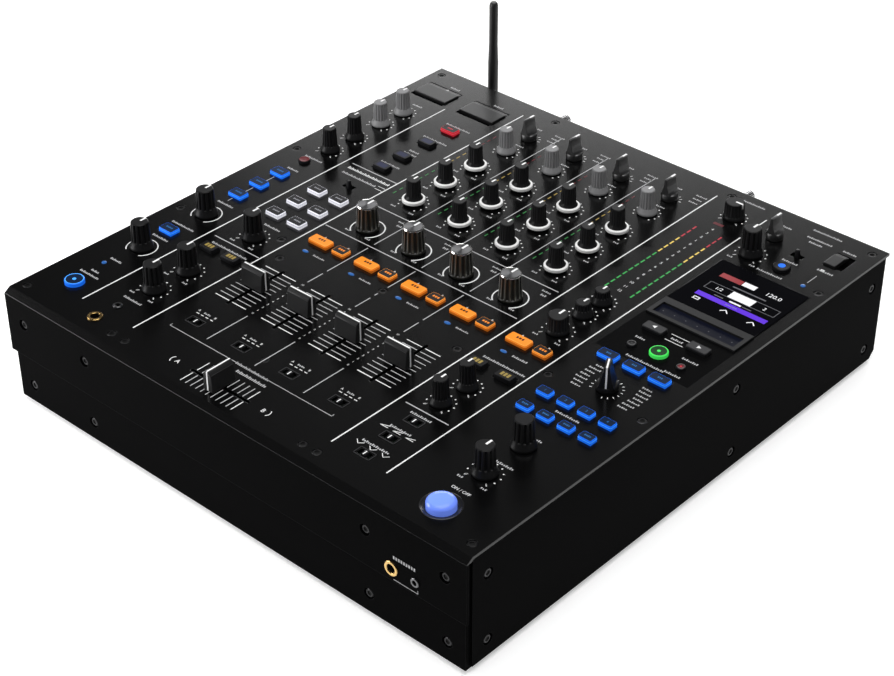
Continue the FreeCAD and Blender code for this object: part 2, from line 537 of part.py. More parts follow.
# USB pockets: moulded cups under the panel with the socket on the floor, closed by flaps on one hinge line.
POCKETS = (
    (dim.left_pocket_x, dim.left_pocket_width, dim.long_pocket, dim.long_flap, 0),
    (dim.mid_pocket_x, dim.mid_pocket_width, dim.long_pocket, dim.long_flap, 0),
    (dim.right_pocket_x, dim.right_pocket_width, dim.short_pocket, dim.short_flap, dim.finger_gap),
)
pocket_floor = dim.pocket_wall - dim.pocket_drop
flaps = []
panel_sockets = []
for x, width, length, reach, finger_gap in POCKETS:
    middle = dim.flap_hinge + dim.pocket_back - length / 2
    panel_slot("pocket_hole", x, middle, width, length)
    shell = slab("pocket_shell", x, middle, width + dim.pocket_wall * 2, length + dim.pocket_wall * 2,
                 -dim.pocket_drop, PANEL_BOTTOM)
    hollow = slab("pocket_hollow", x, middle, width, length, pocket_floor, 0)
    port = slab("port_shell", x, middle, dim.port_length + dim.pocket_wall * 2,
                dim.port_width + dim.pocket_wall * 2, pocket_floor, pocket_floor + dim.port_rise)
    mouth = slab("port_mouth", x, middle, dim.port_length, dim.port_width, pocket_floor + dim.port_floor, 0)
    cup = carved("pocket_cup", shell, [hollow])
    panel_sockets.append(merged("usb_pocket", [cup, carved("port", port, [mouth])]))
    flap_left = x - width / 2 + dim.flap_play
    flap_width = width - dim.flap_play * 2 - finger_gap
    plate = block("flap_plate", (flap_left, dim.flap_hinge - reach, -dim.flap_thick),
                  (flap_left + flap_width, dim.flap_hinge, 0))
    pad = block("flap_pad", (flap_left, dim.flap_hinge - reach, -dim.flap_thick),
                (flap_left + flap_width, dim.flap_hinge - dim.pad_back, dim.pad_rise))
    pin = rod("flap_pin", (flap_left, dim.flap_hinge, -dim.flap_pin), dim.flap_pin, flap_width, ALONG_X)
    flaps.append(merged("usb_flap", [plate, pad, pin]))
node("usb_flaps", gathered("usb_flaps", flaps))

# Display glass with the framed touch strip in front of it.
screen_left = dim.effects_x - dim.screen_width / 2
screen_right = dim.effects_x + dim.screen_width / 2
module_left = screen_left + dim.screen_rim
module_right = screen_right - dim.screen_rim
glass = block("screen_glass", (screen_left, dim.screen_front, 0),
              (screen_right, dim.screen_back, dim.screen_rise))
module = block("screen_module", (module_left, dim.screen_front, -dim.screen_drop),
               (module_right, dim.screen_back - dim.screen_rim, 0))
strip = block("strip_frame", (screen_left, dim.strip_front, 0),
              (screen_right, dim.screen_front, dim.strip_rise))
strip_foot = block("strip_foot", (module_left, dim.strip_front + dim.screen_rim, -dim.screen_drop),
                   (module_right, dim.screen_front, 0))
strip_sink = block("strip_sink", (screen_left + dim.strip_margin, dim.strip_front + dim.strip_margin,
                                  dim.strip_rise - dim.strip_sink),
                   (screen_right - dim.strip_margin, dim.screen_front - dim.strip_margin, dim.strip_rise))
touch_strip = carved("touch_strip", merged("strip_body", [strip, strip_foot]), [strip_sink])
node("display_unit", gathered("display_unit", [merged("display", [glass, module]), touch_strip]))
panel_holes.append(block("display_hole", (screen_left + dim.screen_ledge, dim.strip_front + dim.screen_ledge,
                                          PANEL_BOTTOM - dim.through),
                         (screen_right - dim.screen_ledge, dim.screen_back - dim.screen_ledge, dim.through)))


# Phones sockets: A in the top near the front, B in the front panel near its right end.
def top_socket(x, y, bore, ring, half_body, depth):
    barrel = rod("socket_ring", (x, y, PANEL_BOTTOM), ring, dim.panel_thick + dim.jack_rise)
    body = slab("socket_body", x, y, half_body * 2, half_body * 2, -depth, PANEL_BOTTOM)
    hole = rod("socket_bore", (x, y, dim.panel_thick - depth), bore, depth + dim.panel_thick)
    panel_bore("socket_hole", x, y, ring + dim.socket_play)
    return carved("top_socket", merged("socket", [barrel, body]), [hole])


front_holes = []
tray_holes = []
FRONT_FACE = -dim.lip_depth


def front_socket(x, drop, bore, ring, half_body, depth):
    inner = FRONT_FACE + dim.front_thick + dim.sheet
    barrel = rod("socket_ring", (x, FRONT_FACE - dim.jack_rise, -drop), ring,
                 dim.front_thick + dim.sheet + dim.jack_rise, ALONG_Y)
    body = block("socket_body", (x - half_body, inner, -drop - half_body),
                 (x + half_body, inner + depth, -drop + half_body))
    hole = rod("socket_bore", (x, FRONT_FACE - dim.front_thick, -drop), bore, depth, ALONG_Y)
    for holes in (front_holes, tray_holes):
        holes.append(rod("socket_hole", (x, FRONT_FACE - dim.through, -drop), ring + dim.socket_play,
                         dim.lip_depth + dim.through, ALONG_Y))
    return carved("front_socket", merged("socket", [barrel, body]), [hole])


JACK = (dim.jack_bore, dim.jack_ring, dim.jack_body, dim.jack_depth)
MINI = (dim.mini_bore, dim.mini_ring, dim.mini_body, dim.mini_depth)
panel_sockets.append(top_socket(dim.jack_a_x, dim.jack_a_y, *JACK))
panel_sockets.append(top_socket(dim.mini_a_x, dim.mini_a_y, *MINI))
panel_sockets.append(front_socket(dim.jack_b_x, dim.jack_b_drop, *JACK))
panel_sockets.append(front_socket(dim.mini_b_x, dim.jack_b_drop, *MINI))
node("panel_sockets", gathered("panel_sockets", panel_sockets))

# Screws: each has a seat sunk in the sheet and a shank into a post or the tray.
screw_hole = dim.shank_radius + dim.screw_play
screws = []
for x, y in PANEL_SCREWS:
    seat = rod("seat", (x, y, -dim.head_sink), dim.head_seat, dim.head_sink + dim.through)
    through = rod("through", (x, y, PANEL_BOTTOM - dim.through), screw_hole, dim.panel_thick)
    panel_holes.append(merged("screw_seat", [seat, through]))
    head = rod("head", (x, y, -dim.head_sink), dim.head_radius, dim.head_thick)
    shank = rod("shank", (x, y, -dim.shank_length), dim.shank_radius, dim.shank_length - dim.head_sink)
    screws.append(merged("panel_screw", [head, shank]))
    post = rod("post", (x, y, BOARD_TOP), dim.post_radius, dim.board_top - dim.panel_thick)
    post_bore = rod("post_bore", (x, y, BOARD_TOP + dim.post_floor), dim.post_bore, dim.board_top)
    board_pieces.append(carved("panel_post", post, [post_bore]))

tray_face = FRONT_FACE + dim.front_thick
for x in (-dim.front_screw_x, -dim.front_screw_inner, dim.front_screw_inner, dim.front_screw_x):
    for drop, seat in ((dim.screw_upper, tray_face), (dim.screw_lower, tray_face + dim.sheet)):
        front_holes.append(rod("front_seat", (x, FRONT_FACE - dim.through, -drop), dim.side_seat,
                               dim.front_thick + dim.through * 2, ALONG_Y))
        tray_holes.append(rod("front_through", (x, seat - dim.screw_play, -drop), screw_hole, dim.lip_depth,
                              ALONG_Y))
        head = rod("head", (x, seat - dim.head_thick, -drop), dim.head_radius, dim.head_thick, ALONG_Y)
        shank = rod("shank", (x, seat, -drop), dim.shank_radius, dim.shank_length, ALONG_Y)
        screws.append(merged("front_screw", [head, shank]))
    tray_holes.append(rod("lower_seat", (x, tray_face - dim.through, -dim.screw_lower), dim.side_seat,
                          dim.sheet + dim.through, ALONG_Y))

cover_face = dim.case_width / 2 - dim.cover_inset
cover_holes = {-1: [], 1: []}
for side, holes in cover_holes.items():
    seat = (cover_face - dim.sheet) * side
    head_start = seat if side > 0 else seat - dim.head_thick
    shank_start = seat - dim.shank_length if side > 0 else seat
    hole_start = seat - dim.sheet * 2
    hole_length = dim.sheet * 4
    for y in (dim.side_screw_front, dim.side_screw_mid, dim.side_screw_back):
        for drop in (dim.screw_upper, dim.screw_lower):
            holes.append(rod("cover_seat", (hole_start, y, -drop), dim.side_seat, hole_length, ALONG_X))
            tray_holes.append(rod("side_through", (hole_start, y, -drop), screw_hole, hole_length, ALONG_X))
            head = rod("head", (head_start, y, -drop), dim.head_radius, dim.head_thick, ALONG_X)
            shank = rod("shank", (shank_start, y, -drop), dim.shank_radius, dim.shank_length, ALONG_X)
            screws.append(merged("side_screw", [head, shank]))
node("case_screws", gathered("case_screws", screws))

# Top panel: one folded sheet with a bevelled front lip.
panel_blank = doc.addObject("PartDesign::Body", "panel_blank")
padded(panel_blank, "panel_sheet", "YZ_Plane", [
    (0, 0), (dim.panel_depth, 0), (dim.panel_depth, PANEL_BOTTOM), (dim.through, PANEL_BOTTOM),
    (-dim.lip_root, -dim.lip_drop), (FRONT_FACE, -dim.lip_drop)], dim.case_width)
put(panel_blank, -dim.case_width / 2, 0, 0)
node("top_panel", carved("top_panel", panel_blank, panel_holes))

# Front panel: the upper front strip, proud of the tray behind it.
front_blank = block("front_blank", (-dim.case_width / 2, FRONT_FACE, -dim.front_split),
                    (dim.case_width / 2, tray_face, -dim.lip_drop))
node("front_panel", carved("front_panel", front_blank, front_holes))

# Base tray: spot-welded plates for the floor, front and sides, with a brace behind the lower front.
tray_half = cover_face - dim.sheet
tray_inner = tray_half - dim.sheet
wall_back = tray_face + dim.sheet
lip_room = block("lip_room", (-tray_half - dim.through, tray_face - dim.through, -dim.tray_head),
                 (tray_half + dim.through, dim.lip_room, dim.through))
tray_blanks = [
    block("tray_floor", (-tray_half, tray_face, -dim.case_drop), (tray_half, dim.tray_depth, FLOOR)),
    block("tray_front", (-tray_half, tray_face, FLOOR), (tray_half, wall_back, -dim.tray_head)),
    block("front_brace", (-tray_inner, wall_back, -dim.brace_low),
          (tray_inner, wall_back + dim.sheet, -dim.brace_high)),
]
for left, right in ((-tray_half, -tray_inner), (tray_inner, tray_half)):
    side_blank = block("side_blank", (left, wall_back, FLOOR), (right, dim.tray_depth, PANEL_BOTTOM))
    tray_blanks.append(carved("tray_side", side_blank, [lip_room]))
node("base_tray", gathered("base_tray", [carved("tray_plate", blank, tray_holes) for blank in tray_blanks]))

# Side covers: flat sheets outside the tray walls, with the lower rear corner cut off.
side_panels = []
for side, left in ((-1, -cover_face), (1, tray_half)):
    cover = doc.addObject("PartDesign::Body", "cover_blank")
    padded(cover, "cover_sheet", "YZ_Plane", [
        (dim.cover_front, PANEL_BOTTOM), (dim.cover_back, PANEL_BOTTOM),
        (dim.cover_back, FLOOR + dim.cover_chamfer), (dim.cover_back - dim.cover_chamfer, FLOOR),
        (dim.cover_front, FLOOR)], dim.sheet)
    put(cover, left, 0, 0)
    side_panels.append(carved("side_cover", cover, cover_holes[side]))
node("side_panels", gathered("side_panels", side_panels))

# Rear sockets: barrels through the rear panel with their bodies behind it.
REAR_INNER = dim.tray_depth
REAR_OUTER = dim.tray_depth + dim.sheet
rear_holes = []


def rear_hole(x, drop, radius):
    rear_holes.append(rod("rear_hole", (x, REAR_INNER - dim.through, -drop), radius + dim.socket_play,
                          dim.sheet + dim.through * 2, ALONG_Y))


def phono_socket(x, drop):
    barrel = rod("phono_barrel", (x, REAR_INNER, -drop), dim.phono_radius, dim.sheet + dim.phono_reach,
                 ALONG_Y)
    collar = rod("phono_collar", (x, REAR_OUTER, -drop), dim.phono_collar, dim.phono_collar_thick, ALONG_Y)
    body = block("phono_body", (x - dim.phono_body, REAR_INNER - dim.phono_depth, -drop - dim.phono_body),
                 (x + dim.phono_body, REAR_INNER, -drop + dim.phono_body))
    bore = rod("phono_bore", (x, REAR_OUTER, -drop), dim.phono_bore, dim.phono_reach + dim.through, ALONG_Y)
    rear_hole(x, drop, dim.phono_radius)
    return carved("phono_socket", merged("phono", [barrel, collar, body]), [bore])


def jack_socket(x, drop):
    barrel = rod("jack_barrel", (x, REAR_INNER, -drop), dim.jack_ring, dim.sheet + dim.jack_reach, ALONG_Y)
    body = block("jack_body", (x - dim.jack_body, REAR_INNER - dim.jack_depth, -drop - dim.jack_body),
                 (x + dim.jack_body, REAR_INNER, -drop + dim.jack_body))
    bore = rod("jack_bore", (x, REAR_INNER - dim.jack_depth + dim.jack_end, -drop), dim.jack_bore,
               dim.jack_depth + dim.jack_end, ALONG_Y)
    rear_hole(x, drop, dim.jack_ring)
    return carved("jack_socket", merged("jack", [barrel, body]), [bore])


def xlr_socket(x, drop):
    """A three-pin output: a flanged shell with pins standing in its well."""
    shell = rod("xlr_shell", (x, REAR_OUTER - dim.xlr_depth - dim.xlr_floor, -drop), dim.xlr_radius,
                dim.xlr_depth + dim.xlr_floor, ALONG_Y)
    flange = block("xlr_flange", (x - dim.xlr_flange, REAR_OUTER, -drop - dim.xlr_flange),
                   (x + dim.xlr_flange, REAR_OUTER + dim.xlr_flange_thick, -drop + dim.xlr_flange))
    well = rod("xlr_well", (x, REAR_OUTER - dim.xlr_depth, -drop), dim.xlr_well,
               dim.xlr_depth + dim.xlr_flange_thick + dim.through, ALONG_Y)
    solids = [carved("xlr_body", merged("xlr", [shell, flange]), [well])]
    for across, up in ((-1, 0), (1, 0), (0, 1)):
        foot = (x + dim.xlr_pin_ring * across, REAR_OUTER - dim.xlr_depth - dim.through,
                dim.xlr_pin_ring * up - drop)
        solids.append(rod("xlr_pin", foot, dim.xlr_pin, dim.xlr_depth, ALONG_Y))
    rear_hole(x, drop, dim.xlr_radius)
    return merged("xlr_socket", solids)


def framed_well(name, x, drop, width, height, hole, hole_height, depth):
    """A rectangular socket with an open well in a flange on the rear panel."""
    def upright_box(label, half_x, half_z, front, back):
        return block(f"{name}_{label}", (x - half_x, front, -drop - half_z),
                     (x + half_x, back, -drop + half_z))

    half_x = hole / 2
    half_z = hole_height / 2
    wall = dim.well_wall
    room = wall + dim.socket_play
    flange = upright_box("flange", width / 2, height / 2, REAR_OUTER, REAR_OUTER + dim.well_flange)
    body = upright_box("body", half_x + wall, half_z + wall, REAR_OUTER - depth - wall * 2, REAR_OUTER)
    well = upright_box("well", half_x, half_z, REAR_OUTER - depth, REAR_OUTER + dim.well_flange + dim.through)
    rear_holes.append(upright_box("cutout", half_x + room, half_z + room, REAR_INNER - dim.through,
                                  REAR_OUTER + dim.through))
    return carved(name, merged(f"{name}_block", [flange, body]), [well])


def ground_post(x):
    """A knurled screw terminal for earth wires."""
    neck = rod("ground_neck", (x, REAR_INNER, -dim.ground_drop), dim.ground_neck, dim.post_reach, ALONG_Y)
    head = rod("ground_head", (x, REAR_OUTER + dim.ground_neck_bare, -dim.ground_drop), dim.ground_radius,
               dim.post_reach - dim.ground_neck_bare - dim.ground_tip, ALONG_Y)
    rear_hole(x, dim.ground_drop, dim.ground_neck)
    return merged("ground_post", [neck, head])


rear = []
for column in range(len(CHANNELS) * 2):
    x = dim.first_phono + dim.phono_pitch * column
    rear += [phono_socket(x, drop) for drop in (dim.upper_line, dim.lower_line, dim.bottom_line)]
for x in (dim.return_x, dim.return_x + dim.phono_pitch):
    rear += [phono_socket(x, drop) for drop in (dim.lower_line, dim.bottom_line)]
for drop in (dim.lower_line, dim.bottom_line):
    rear += [jack_socket(dim.first_jack + dim.jack_pitch * column, drop) for column in range(3)]
rear += [xlr_socket(x, dim.lower_line) for x in (dim.xlr_left, dim.xlr_right)]
rear.append(framed_well("network_socket", dim.net_x, dim.bottom_line, dim.net_width, dim.net_height,
                        dim.net_hole, dim.net_hole_height, dim.net_depth))
rear.append(framed_well("mains_inlet", dim.inlet_x, dim.bottom_line, dim.inlet_width, dim.inlet_height,
                        dim.inlet_hole, dim.inlet_hole_height, dim.inlet_depth))
rear += [ground_post(x) for x in (-dim.ground_x, dim.ground_x)]
rear_hole(dim.aerial_x, dim.aerial_drop, dim.aerial_neck)
aerial_neck = rod("aerial_neck", (dim.aerial_x, REAR_INNER - dim.aerial_neck_drop, -dim.aerial_drop),
                  dim.aerial_neck, dim.sheet + dim.aerial_neck_drop, ALONG_Y)
aerial_nut = rod("aerial_nut", (dim.aerial_x, REAR_OUTER, -dim.aerial_drop), dim.aerial_socket,
                 dim.aerial_root - REAR_OUTER - dim.aerial_gap, ALONG_Y)
rear.append(merged("antenna_socket", [aerial_neck, aerial_nut]))
node("rear_sockets", gathered("rear_sockets", rear))

rear_blank = block("rear_blank", (-tray_half, REAR_INNER, -dim.case_drop),
                   (tray_half, REAR_OUTER, PANEL_BOTTOM))
node("rear_panel", carved("rear_panel", rear_blank, rear_holes))

# Antenna: a tapered rod on a round knuckle that turns about the socket's axis.
upper_foot = dim.aerial_rise - dim.aerial_upper
taper_foot = upper_foot - dim.aerial_taper
knuckle = rod("knuckle", (dim.aerial_x, dim.aerial_root, -dim.aerial_drop), dim.aerial_knuckle,
              dim.aerial_end - dim.aerial_root, ALONG_Y)
lower_rod = rod("aerial_lower", (dim.aerial_x, dim.aerial_y, -dim.aerial_drop), dim.aerial_foot,
                taper_foot + dim.aerial_drop)
neck_rod = taper("aerial_taper", (dim.aerial_x, dim.aerial_y, taper_foot), dim.aerial_foot, dim.aerial_tip,
                 dim.aerial_taper)
upper_rod = rod("aerial_upper", (dim.aerial_x, dim.aerial_y, upper_foot), dim.aerial_tip, dim.aerial_upper)
crown_rod = taper("aerial_crown", (dim.aerial_x, dim.aerial_y, dim.aerial_rise), dim.aerial_tip,
                  dim.aerial_tip - dim.aerial_crown_inset, dim.aerial_crown)
node("antenna", merged("antenna", [knuckle, lower_rod, neck_rod, upper_rod, crown_rod]))

# Rubber feet under the tray.
feet = []
for x in (-dim.foot_place_x, dim.foot_place_x):
    for y in (dim.foot_front, dim.foot_back):
        feet.append(taper("foot", (x, y, -PANEL_TOP), dim.foot_radius - dim.foot_taper, dim.foot_radius,
                          dim.foot_height))
node("rubber_feet", gathered("rubber_feet", feet))

# Control board: one sheet under the top panel that carries every housing, cut away at the phones sockets.
board_low = BOARD_TOP - dim.board_thick
board_blank = block("board_blank", (-dim.board_half, dim.board_front, board_low),
                    (dim.board_half, dim.board_front + dim.board_depth, BOARD_TOP))
socket_room = block("socket_room", (dim.jack_a_x - dim.notch_half, dim.jack_a_y - dim.notch_front,
                                    board_low - dim.through),
                    (dim.jack_a_x + dim.notch_half, dim.mini_a_y + dim.notch_back, BOARD_TOP + dim.through))
board_sheet = carved("board_sheet", board_blank, [socket_room])
node("control_board", gathered("control_board", [board_sheet] + board_pieces))

# Main board on its spacers, with processor, heat sink and filter capacitors.
main_top = dim.board_thick - dim.main_level
main_parts = [block("main_sheet", (dim.main_left, dim.main_front, -dim.main_level),
                    (dim.main_right, dim.main_back, main_top))]
for x in (dim.main_left + dim.spacer_inset, dim.main_right - dim.spacer_inset):
    for y in (dim.main_front + dim.spacer_inset, dim.main_back - dim.spacer_back):
        main_parts.append(rod("main_spacer", (x, y, FLOOR), dim.post_radius, -dim.main_level - FLOOR))
for x, y, length, width in CHIPS:
    main_parts.append(slab("chip", x, y, length, width, main_top, main_top + dim.chip_height))
for fin in range(SINK_FINS):
    x = dim.processor_x + dim.chip_height * (fin - SINK_FINS // 2)
    fin_foot = main_top + dim.chip_height
    main_parts.append(slab("sink_fin", x, dim.processor_y, dim.fin_thick, dim.fin_length, fin_foot,
                           fin_foot + dim.fin_height))
for x in CAPACITOR_COLUMNS:
    main_parts.append(rod("capacitor", (x, dim.capacitor_y, main_top), dim.capacitor_radius,
                          dim.capacitor_height))
node("main_board", merged("main_board", main_parts))

# Power supply: a steel tray on the floor with its wall, transformer, choke and reservoir capacitor.
supply_floor = FLOOR + dim.supply_sheet
supply_parts = [
    block("supply_base", (dim.supply_left, dim.supply_front, FLOOR),
          (dim.supply_right, dim.supply_back, supply_floor)),
    block("supply_wall", (dim.supply_left, dim.supply_front, supply_floor),
          (dim.supply_left + dim.supply_sheet, dim.supply_back, FLOOR + dim.supply_height)),
    slab("transformer", dim.transformer_x, dim.transformer_y, dim.transformer_length, dim.transformer_width,
         supply_floor, supply_floor + dim.transformer_height),
    slab("supply_choke", dim.choke_x, dim.choke_y, dim.choke_length, dim.choke_width,
         supply_floor, supply_floor + dim.choke_height),
    rod("reservoir", (dim.reservoir_x, dim.reservoir_y, supply_floor), dim.reservoir_radius,
        dim.reservoir_height),
]
node("power_supply", merged("power_supply", supply_parts))

doc.recompute()
for item in doc.Objects:
    if "Invalid" in item.State or "Error" in item.State:
        raise RuntimeError(f"{item.Label} failed: {item.State}")
os.makedirs("parts", exist_ok=True)
for label, item in nodes.items():
    shape = item.Shape
    if shape.isNull() or not shape.isValid() or not shape.Solids:
        raise RuntimeError(f"{label} has no sound solid")
    shape.exportStep(os.path.join("parts", f"{label}.step"))
print(len(nodes), "sub-parts written")
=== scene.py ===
from math import atan2, cos, degrees, hypot, pi, radians, sin
import bmesh
import bpy
from mathutils import Matrix, Vector


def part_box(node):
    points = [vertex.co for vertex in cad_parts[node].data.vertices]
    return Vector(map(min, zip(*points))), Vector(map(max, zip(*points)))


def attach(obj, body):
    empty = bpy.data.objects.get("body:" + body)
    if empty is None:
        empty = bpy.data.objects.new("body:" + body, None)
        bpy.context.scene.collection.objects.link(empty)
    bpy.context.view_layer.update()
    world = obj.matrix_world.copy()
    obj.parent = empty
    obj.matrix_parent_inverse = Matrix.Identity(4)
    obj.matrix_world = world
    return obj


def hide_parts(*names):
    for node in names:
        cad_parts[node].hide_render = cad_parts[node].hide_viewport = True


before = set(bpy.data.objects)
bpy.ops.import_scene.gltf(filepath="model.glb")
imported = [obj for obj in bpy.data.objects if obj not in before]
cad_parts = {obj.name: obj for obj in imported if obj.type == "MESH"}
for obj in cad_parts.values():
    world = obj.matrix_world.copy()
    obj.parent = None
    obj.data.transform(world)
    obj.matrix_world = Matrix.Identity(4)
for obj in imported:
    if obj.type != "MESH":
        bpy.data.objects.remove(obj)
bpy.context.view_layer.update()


# Case: folded steel sheets for the top, front strip, side covers, tray and rear.
# Each is finished in fine matt black powder paint, baked on, and held by sunk screws.
DRIFT_SCALE = 22
TONE_SPREAD = 0.1
RELIEF_DEPTH = 0.0001
# Colour of the painted highlight along rounded edges.
EDGE_HIGHLIGHT_PAINT = (0.022, 0.022, 0.023, 1)


def noise_group(name):
    """A fine grain for bumps, and a slow drift of tone."""
    group = bpy.data.node_groups.new(name, "ShaderNodeTree")
    group.interface.new_socket("Scale", in_out="INPUT", socket_type="NodeSocketFloat")
    group.interface.new_socket("Height", in_out="OUTPUT", socket_type="NodeSocketFloat")
    group.interface.new_socket("Tone", in_out="OUTPUT", socket_type="NodeSocketFloat")
    outside = group.nodes.new("NodeGroupInput")
    result = group.nodes.new("NodeGroupOutput")
    place = group.nodes.new("ShaderNodeTexCoord")
    fine = group.nodes.new("ShaderNodeTexNoise")
    fine.inputs["Detail"].default_value = 3
    slow = group.nodes.new("ShaderNodeTexNoise")
    slow.inputs["Scale"].default_value = DRIFT_SCALE
    wire = group.links.new
    wire(place.outputs["Object"], fine.inputs["Vector"])
    wire(place.outputs["Object"], slow.inputs["Vector"])
    wire(outside.outputs["Scale"], fine.inputs["Scale"])
    wire(fine.outputs["Fac"], result.inputs["Height"])
    wire(slow.outputs["Fac"], result.inputs["Tone"])
    return group


moulded_grain = noise_group("moulded_grain")


def finish(name, colour, roughness, specular=0.4, metallic=0.0, grain=2600, bump=0.15, glow=0.0, edge=0.0):
    """A painted, moulded or metal surface with a fine grain and a slight drift of tone; an edge radius adds a
    painted highlight that lightens its edges.
    """
    made = bpy.data.materials.new(name)
    made.use_nodes = True
    nodes = made.node_tree.nodes
    wire = made.node_tree.links.new
    shader = nodes["Principled BSDF"]
    shader.inputs["Roughness"].default_value = roughness
    shader.inputs["Specular IOR Level"].default_value = specular
    shader.inputs["Metallic"].default_value = metallic
    surface = nodes.new("ShaderNodeGroup")
    surface.node_tree = moulded_grain
    surface.inputs["Scale"].default_value = grain
    tint = nodes.new("ShaderNodeMix")
    tint.data_type = "RGBA"
    tint.inputs["A"].default_value = (*[channel * (1 - TONE_SPREAD) for channel in colour], 1)
    tint.inputs["B"].default_value = (*[channel * (1 + TONE_SPREAD) for channel in colour], 1)
    relief = nodes.new("ShaderNodeBump")
    relief.inputs["Strength"].default_value = bump
    relief.inputs["Distance"].default_value = RELIEF_DEPTH
    wire(surface.outputs["Tone"], tint.inputs["Factor"])
    wire(tint.outputs["Result"], shader.inputs["Base Color"])
    wire(surface.outputs["Height"], relief.inputs["Height"])
    wire(relief.outputs["Normal"], shader.inputs["Normal"])
    if glow:
        wire(tint.outputs["Result"], shader.inputs["Emission Color"])
        shader.inputs["Emission Strength"].default_value = glow
    # Painted highlight: the base colour lightens where the rounded normal turns from the true normal, along
    # the edges.
    if edge:
        soft_edge = nodes.new("ShaderNodeBevel")
        soft_edge.samples = 6
        soft_edge.inputs["Radius"].default_value = edge
        facing = nodes.new("ShaderNodeNewGeometry")
        agree = nodes.new("ShaderNodeVectorMath")
        agree.operation = "DOT_PRODUCT"
        edge_highlight_mask = nodes.new("ShaderNodeMapRange")
        edge_highlight_mask.inputs["From Min"].default_value = 0.98
        edge_highlight_mask.inputs["From Max"].default_value = 0.75
        lighter = nodes.new("ShaderNodeMix")
        lighter.data_type = "RGBA"
        lighter.inputs["B"].default_value = EDGE_HIGHLIGHT_PAINT
        wire(soft_edge.outputs["Normal"], relief.inputs["Normal"])
        wire(soft_edge.outputs["Normal"], agree.inputs[0])
        wire(facing.outputs["True Normal"], agree.inputs[1])
        wire(agree.outputs["Value"], edge_highlight_mask.inputs["Value"])
        wire(edge_highlight_mask.outputs["Result"], lighter.inputs["Factor"])
        wire(tint.outputs["Result"], lighter.inputs["A"])
        wire(lighter.outputs["Result"], shader.inputs["Base Color"])
    return made


def dress(node, surface):
    """Gives a solid of the frame its finish."""
    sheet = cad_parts[node].data
    sheet.materials.clear()
    sheet.materials.append(surface)


panel_paint = finish("panel_paint", (0.0018, 0.0018, 0.0019), 0.2, 0.3, grain=3800, bump=0.08, edge=0.0003)
case_paint = finish("case_paint", (0.0024, 0.0024, 0.0025), 0.44, 0.005, grain=3200, bump=0.3, edge=0.0006)
dress("top_panel", panel_paint)
for node in ("front_panel", "side_panels", "base_tray", "rear_panel"):
    dress(node, case_paint)


# Case screws: black zinc-plated steel pan heads with a driven recess.
# They sit in seats sunk into the top, the front and the side covers.
# Meshes are drawn in millimetres from the middle of the panel's front edge, with its top at zero.
MILLIMETRE = 0.001
FRONT_LIP = 0.005
MERGE = 0.0005
CREASE = radians(32)
BROAD_FACE = 2e-5
panel_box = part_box("top_panel")
panel_origin = Matrix.Translation((0, panel_box[0].y + FRONT_LIP, panel_box[1].z))
TO_FRAME = panel_origin @ Matrix.Scale(MILLIMETRE, 4)


def tidy(shape):
    """Closes the seams of a shape and turns its faces outwards."""
    bmesh.ops.remove_doubles(shape, verts=shape.verts, dist=MERGE)
    bmesh.ops.recalc_face_normals(shape, faces=shape.faces)
    return shape


def turned(stretches, steps=40):
    """Spins stretches of (radius, height) points; each stretch has its own finish number."""
    shape = bmesh.new()
    for number, profile in stretches:
        old = set(shape.faces)
        points = [shape.verts.new((radius, 0, height)) for radius, height in profile]
        edges = [shape.edges.new(pair) for pair in zip(points, points[1:])]
        bmesh.ops.spin(shape, geom=points + edges, cent=(0, 0, 0), axis=(0, 0, 1), angle=2 * pi,
                       steps=steps, use_merge=True)
        for face in shape.faces:
            if face not in old:
                face.material_index = number
    return tidy(shape)


def add(whole, shape, place=Matrix()):
    """Puts a finished shape into a larger mesh at its place."""
    shape.transform(place)
    data = bpy.data.meshes.new("shape")
    shape.to_mesh(data)
    shape.free()
    whole.from_mesh(data)
    bpy.data.meshes.remove(data)


def at(x, y, z=0.0, turn=0.0, axis="Z"):
    """A place on the panel, with a turn in degrees about one axis."""
    return Matrix.Translation((x, y, z)) @ Matrix.Rotation(radians(turn), 4, axis)


def piece(name, mesh, body, finishes, replaced=()):
    """Makes a mesh drawn in panel millimetres into an object that rides on a body."""
    mesh.transform(TO_FRAME)
    data = bpy.data.meshes.new(name)
    mesh.to_mesh(data)
    mesh.free()
    for surface in finishes:
        data.materials.append(surface)
    data.shade_smooth()
    data.set_sharp_from_angle(angle=CREASE)
    for face in data.polygons:
        face.use_smooth = face.area < BROAD_FACE
    made = bpy.data.objects.new(name, data)
    bpy.context.collection.objects.link(made)
    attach(made, body)
    if replaced:
        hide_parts(*replaced)


screw_black = finish("screw_black", (0.012, 0.012, 0.013), 0.32, 0.5, metallic=0.6)
# Painted shade: a darker, non-metal finish inside the screw recesses; the same finish is the real black of
# the phones jack bores.
bore_black_and_recess_shade = finish("bore_black_and_recess_shade", (0.002, 0.002, 0.002), 0.6, 0.2)
SCREW_HEAD = ((0, ((1.5, -6.5), (1.5, 0), (3, 0), (3, 0.55), (2.6, 0.95), (1.75, 0.95))),
              (1, ((1.75, 0.95), (1.45, 0.3), (0, 0.3))))
SCREW_STEPS = 18
PANEL_SCREWS = ((-195.5, 8.5), (195.5, 8.5), (195.5, 411.5), (-195.5, 411.5), (-80.5, 411.5), (80.5, 411.5),
                (195.5, 347.5), (195.5, 161), (123, 160), (63, 143), (-113, 160), (-96.5, 142.7),
                (-195.5, 142.3), (-195.5, 255), (-17.5, 159.8), (-17.5, 54.3), (-110.7, 9), (-98, 9),
                (61.5, 9.5), (73.3, 9.5))
TOP_SEAT = -1.2
FRONT_SCREW_X = (-187, -125, 125, 187)
FRONT_SEATS = (-3, -1.5)
SIDE_SCREW_Y = (14.5, 250, 405)
SIDE_SEAT = 201
SCREW_DROPS = (21.5, 71)
screws = bmesh.new()
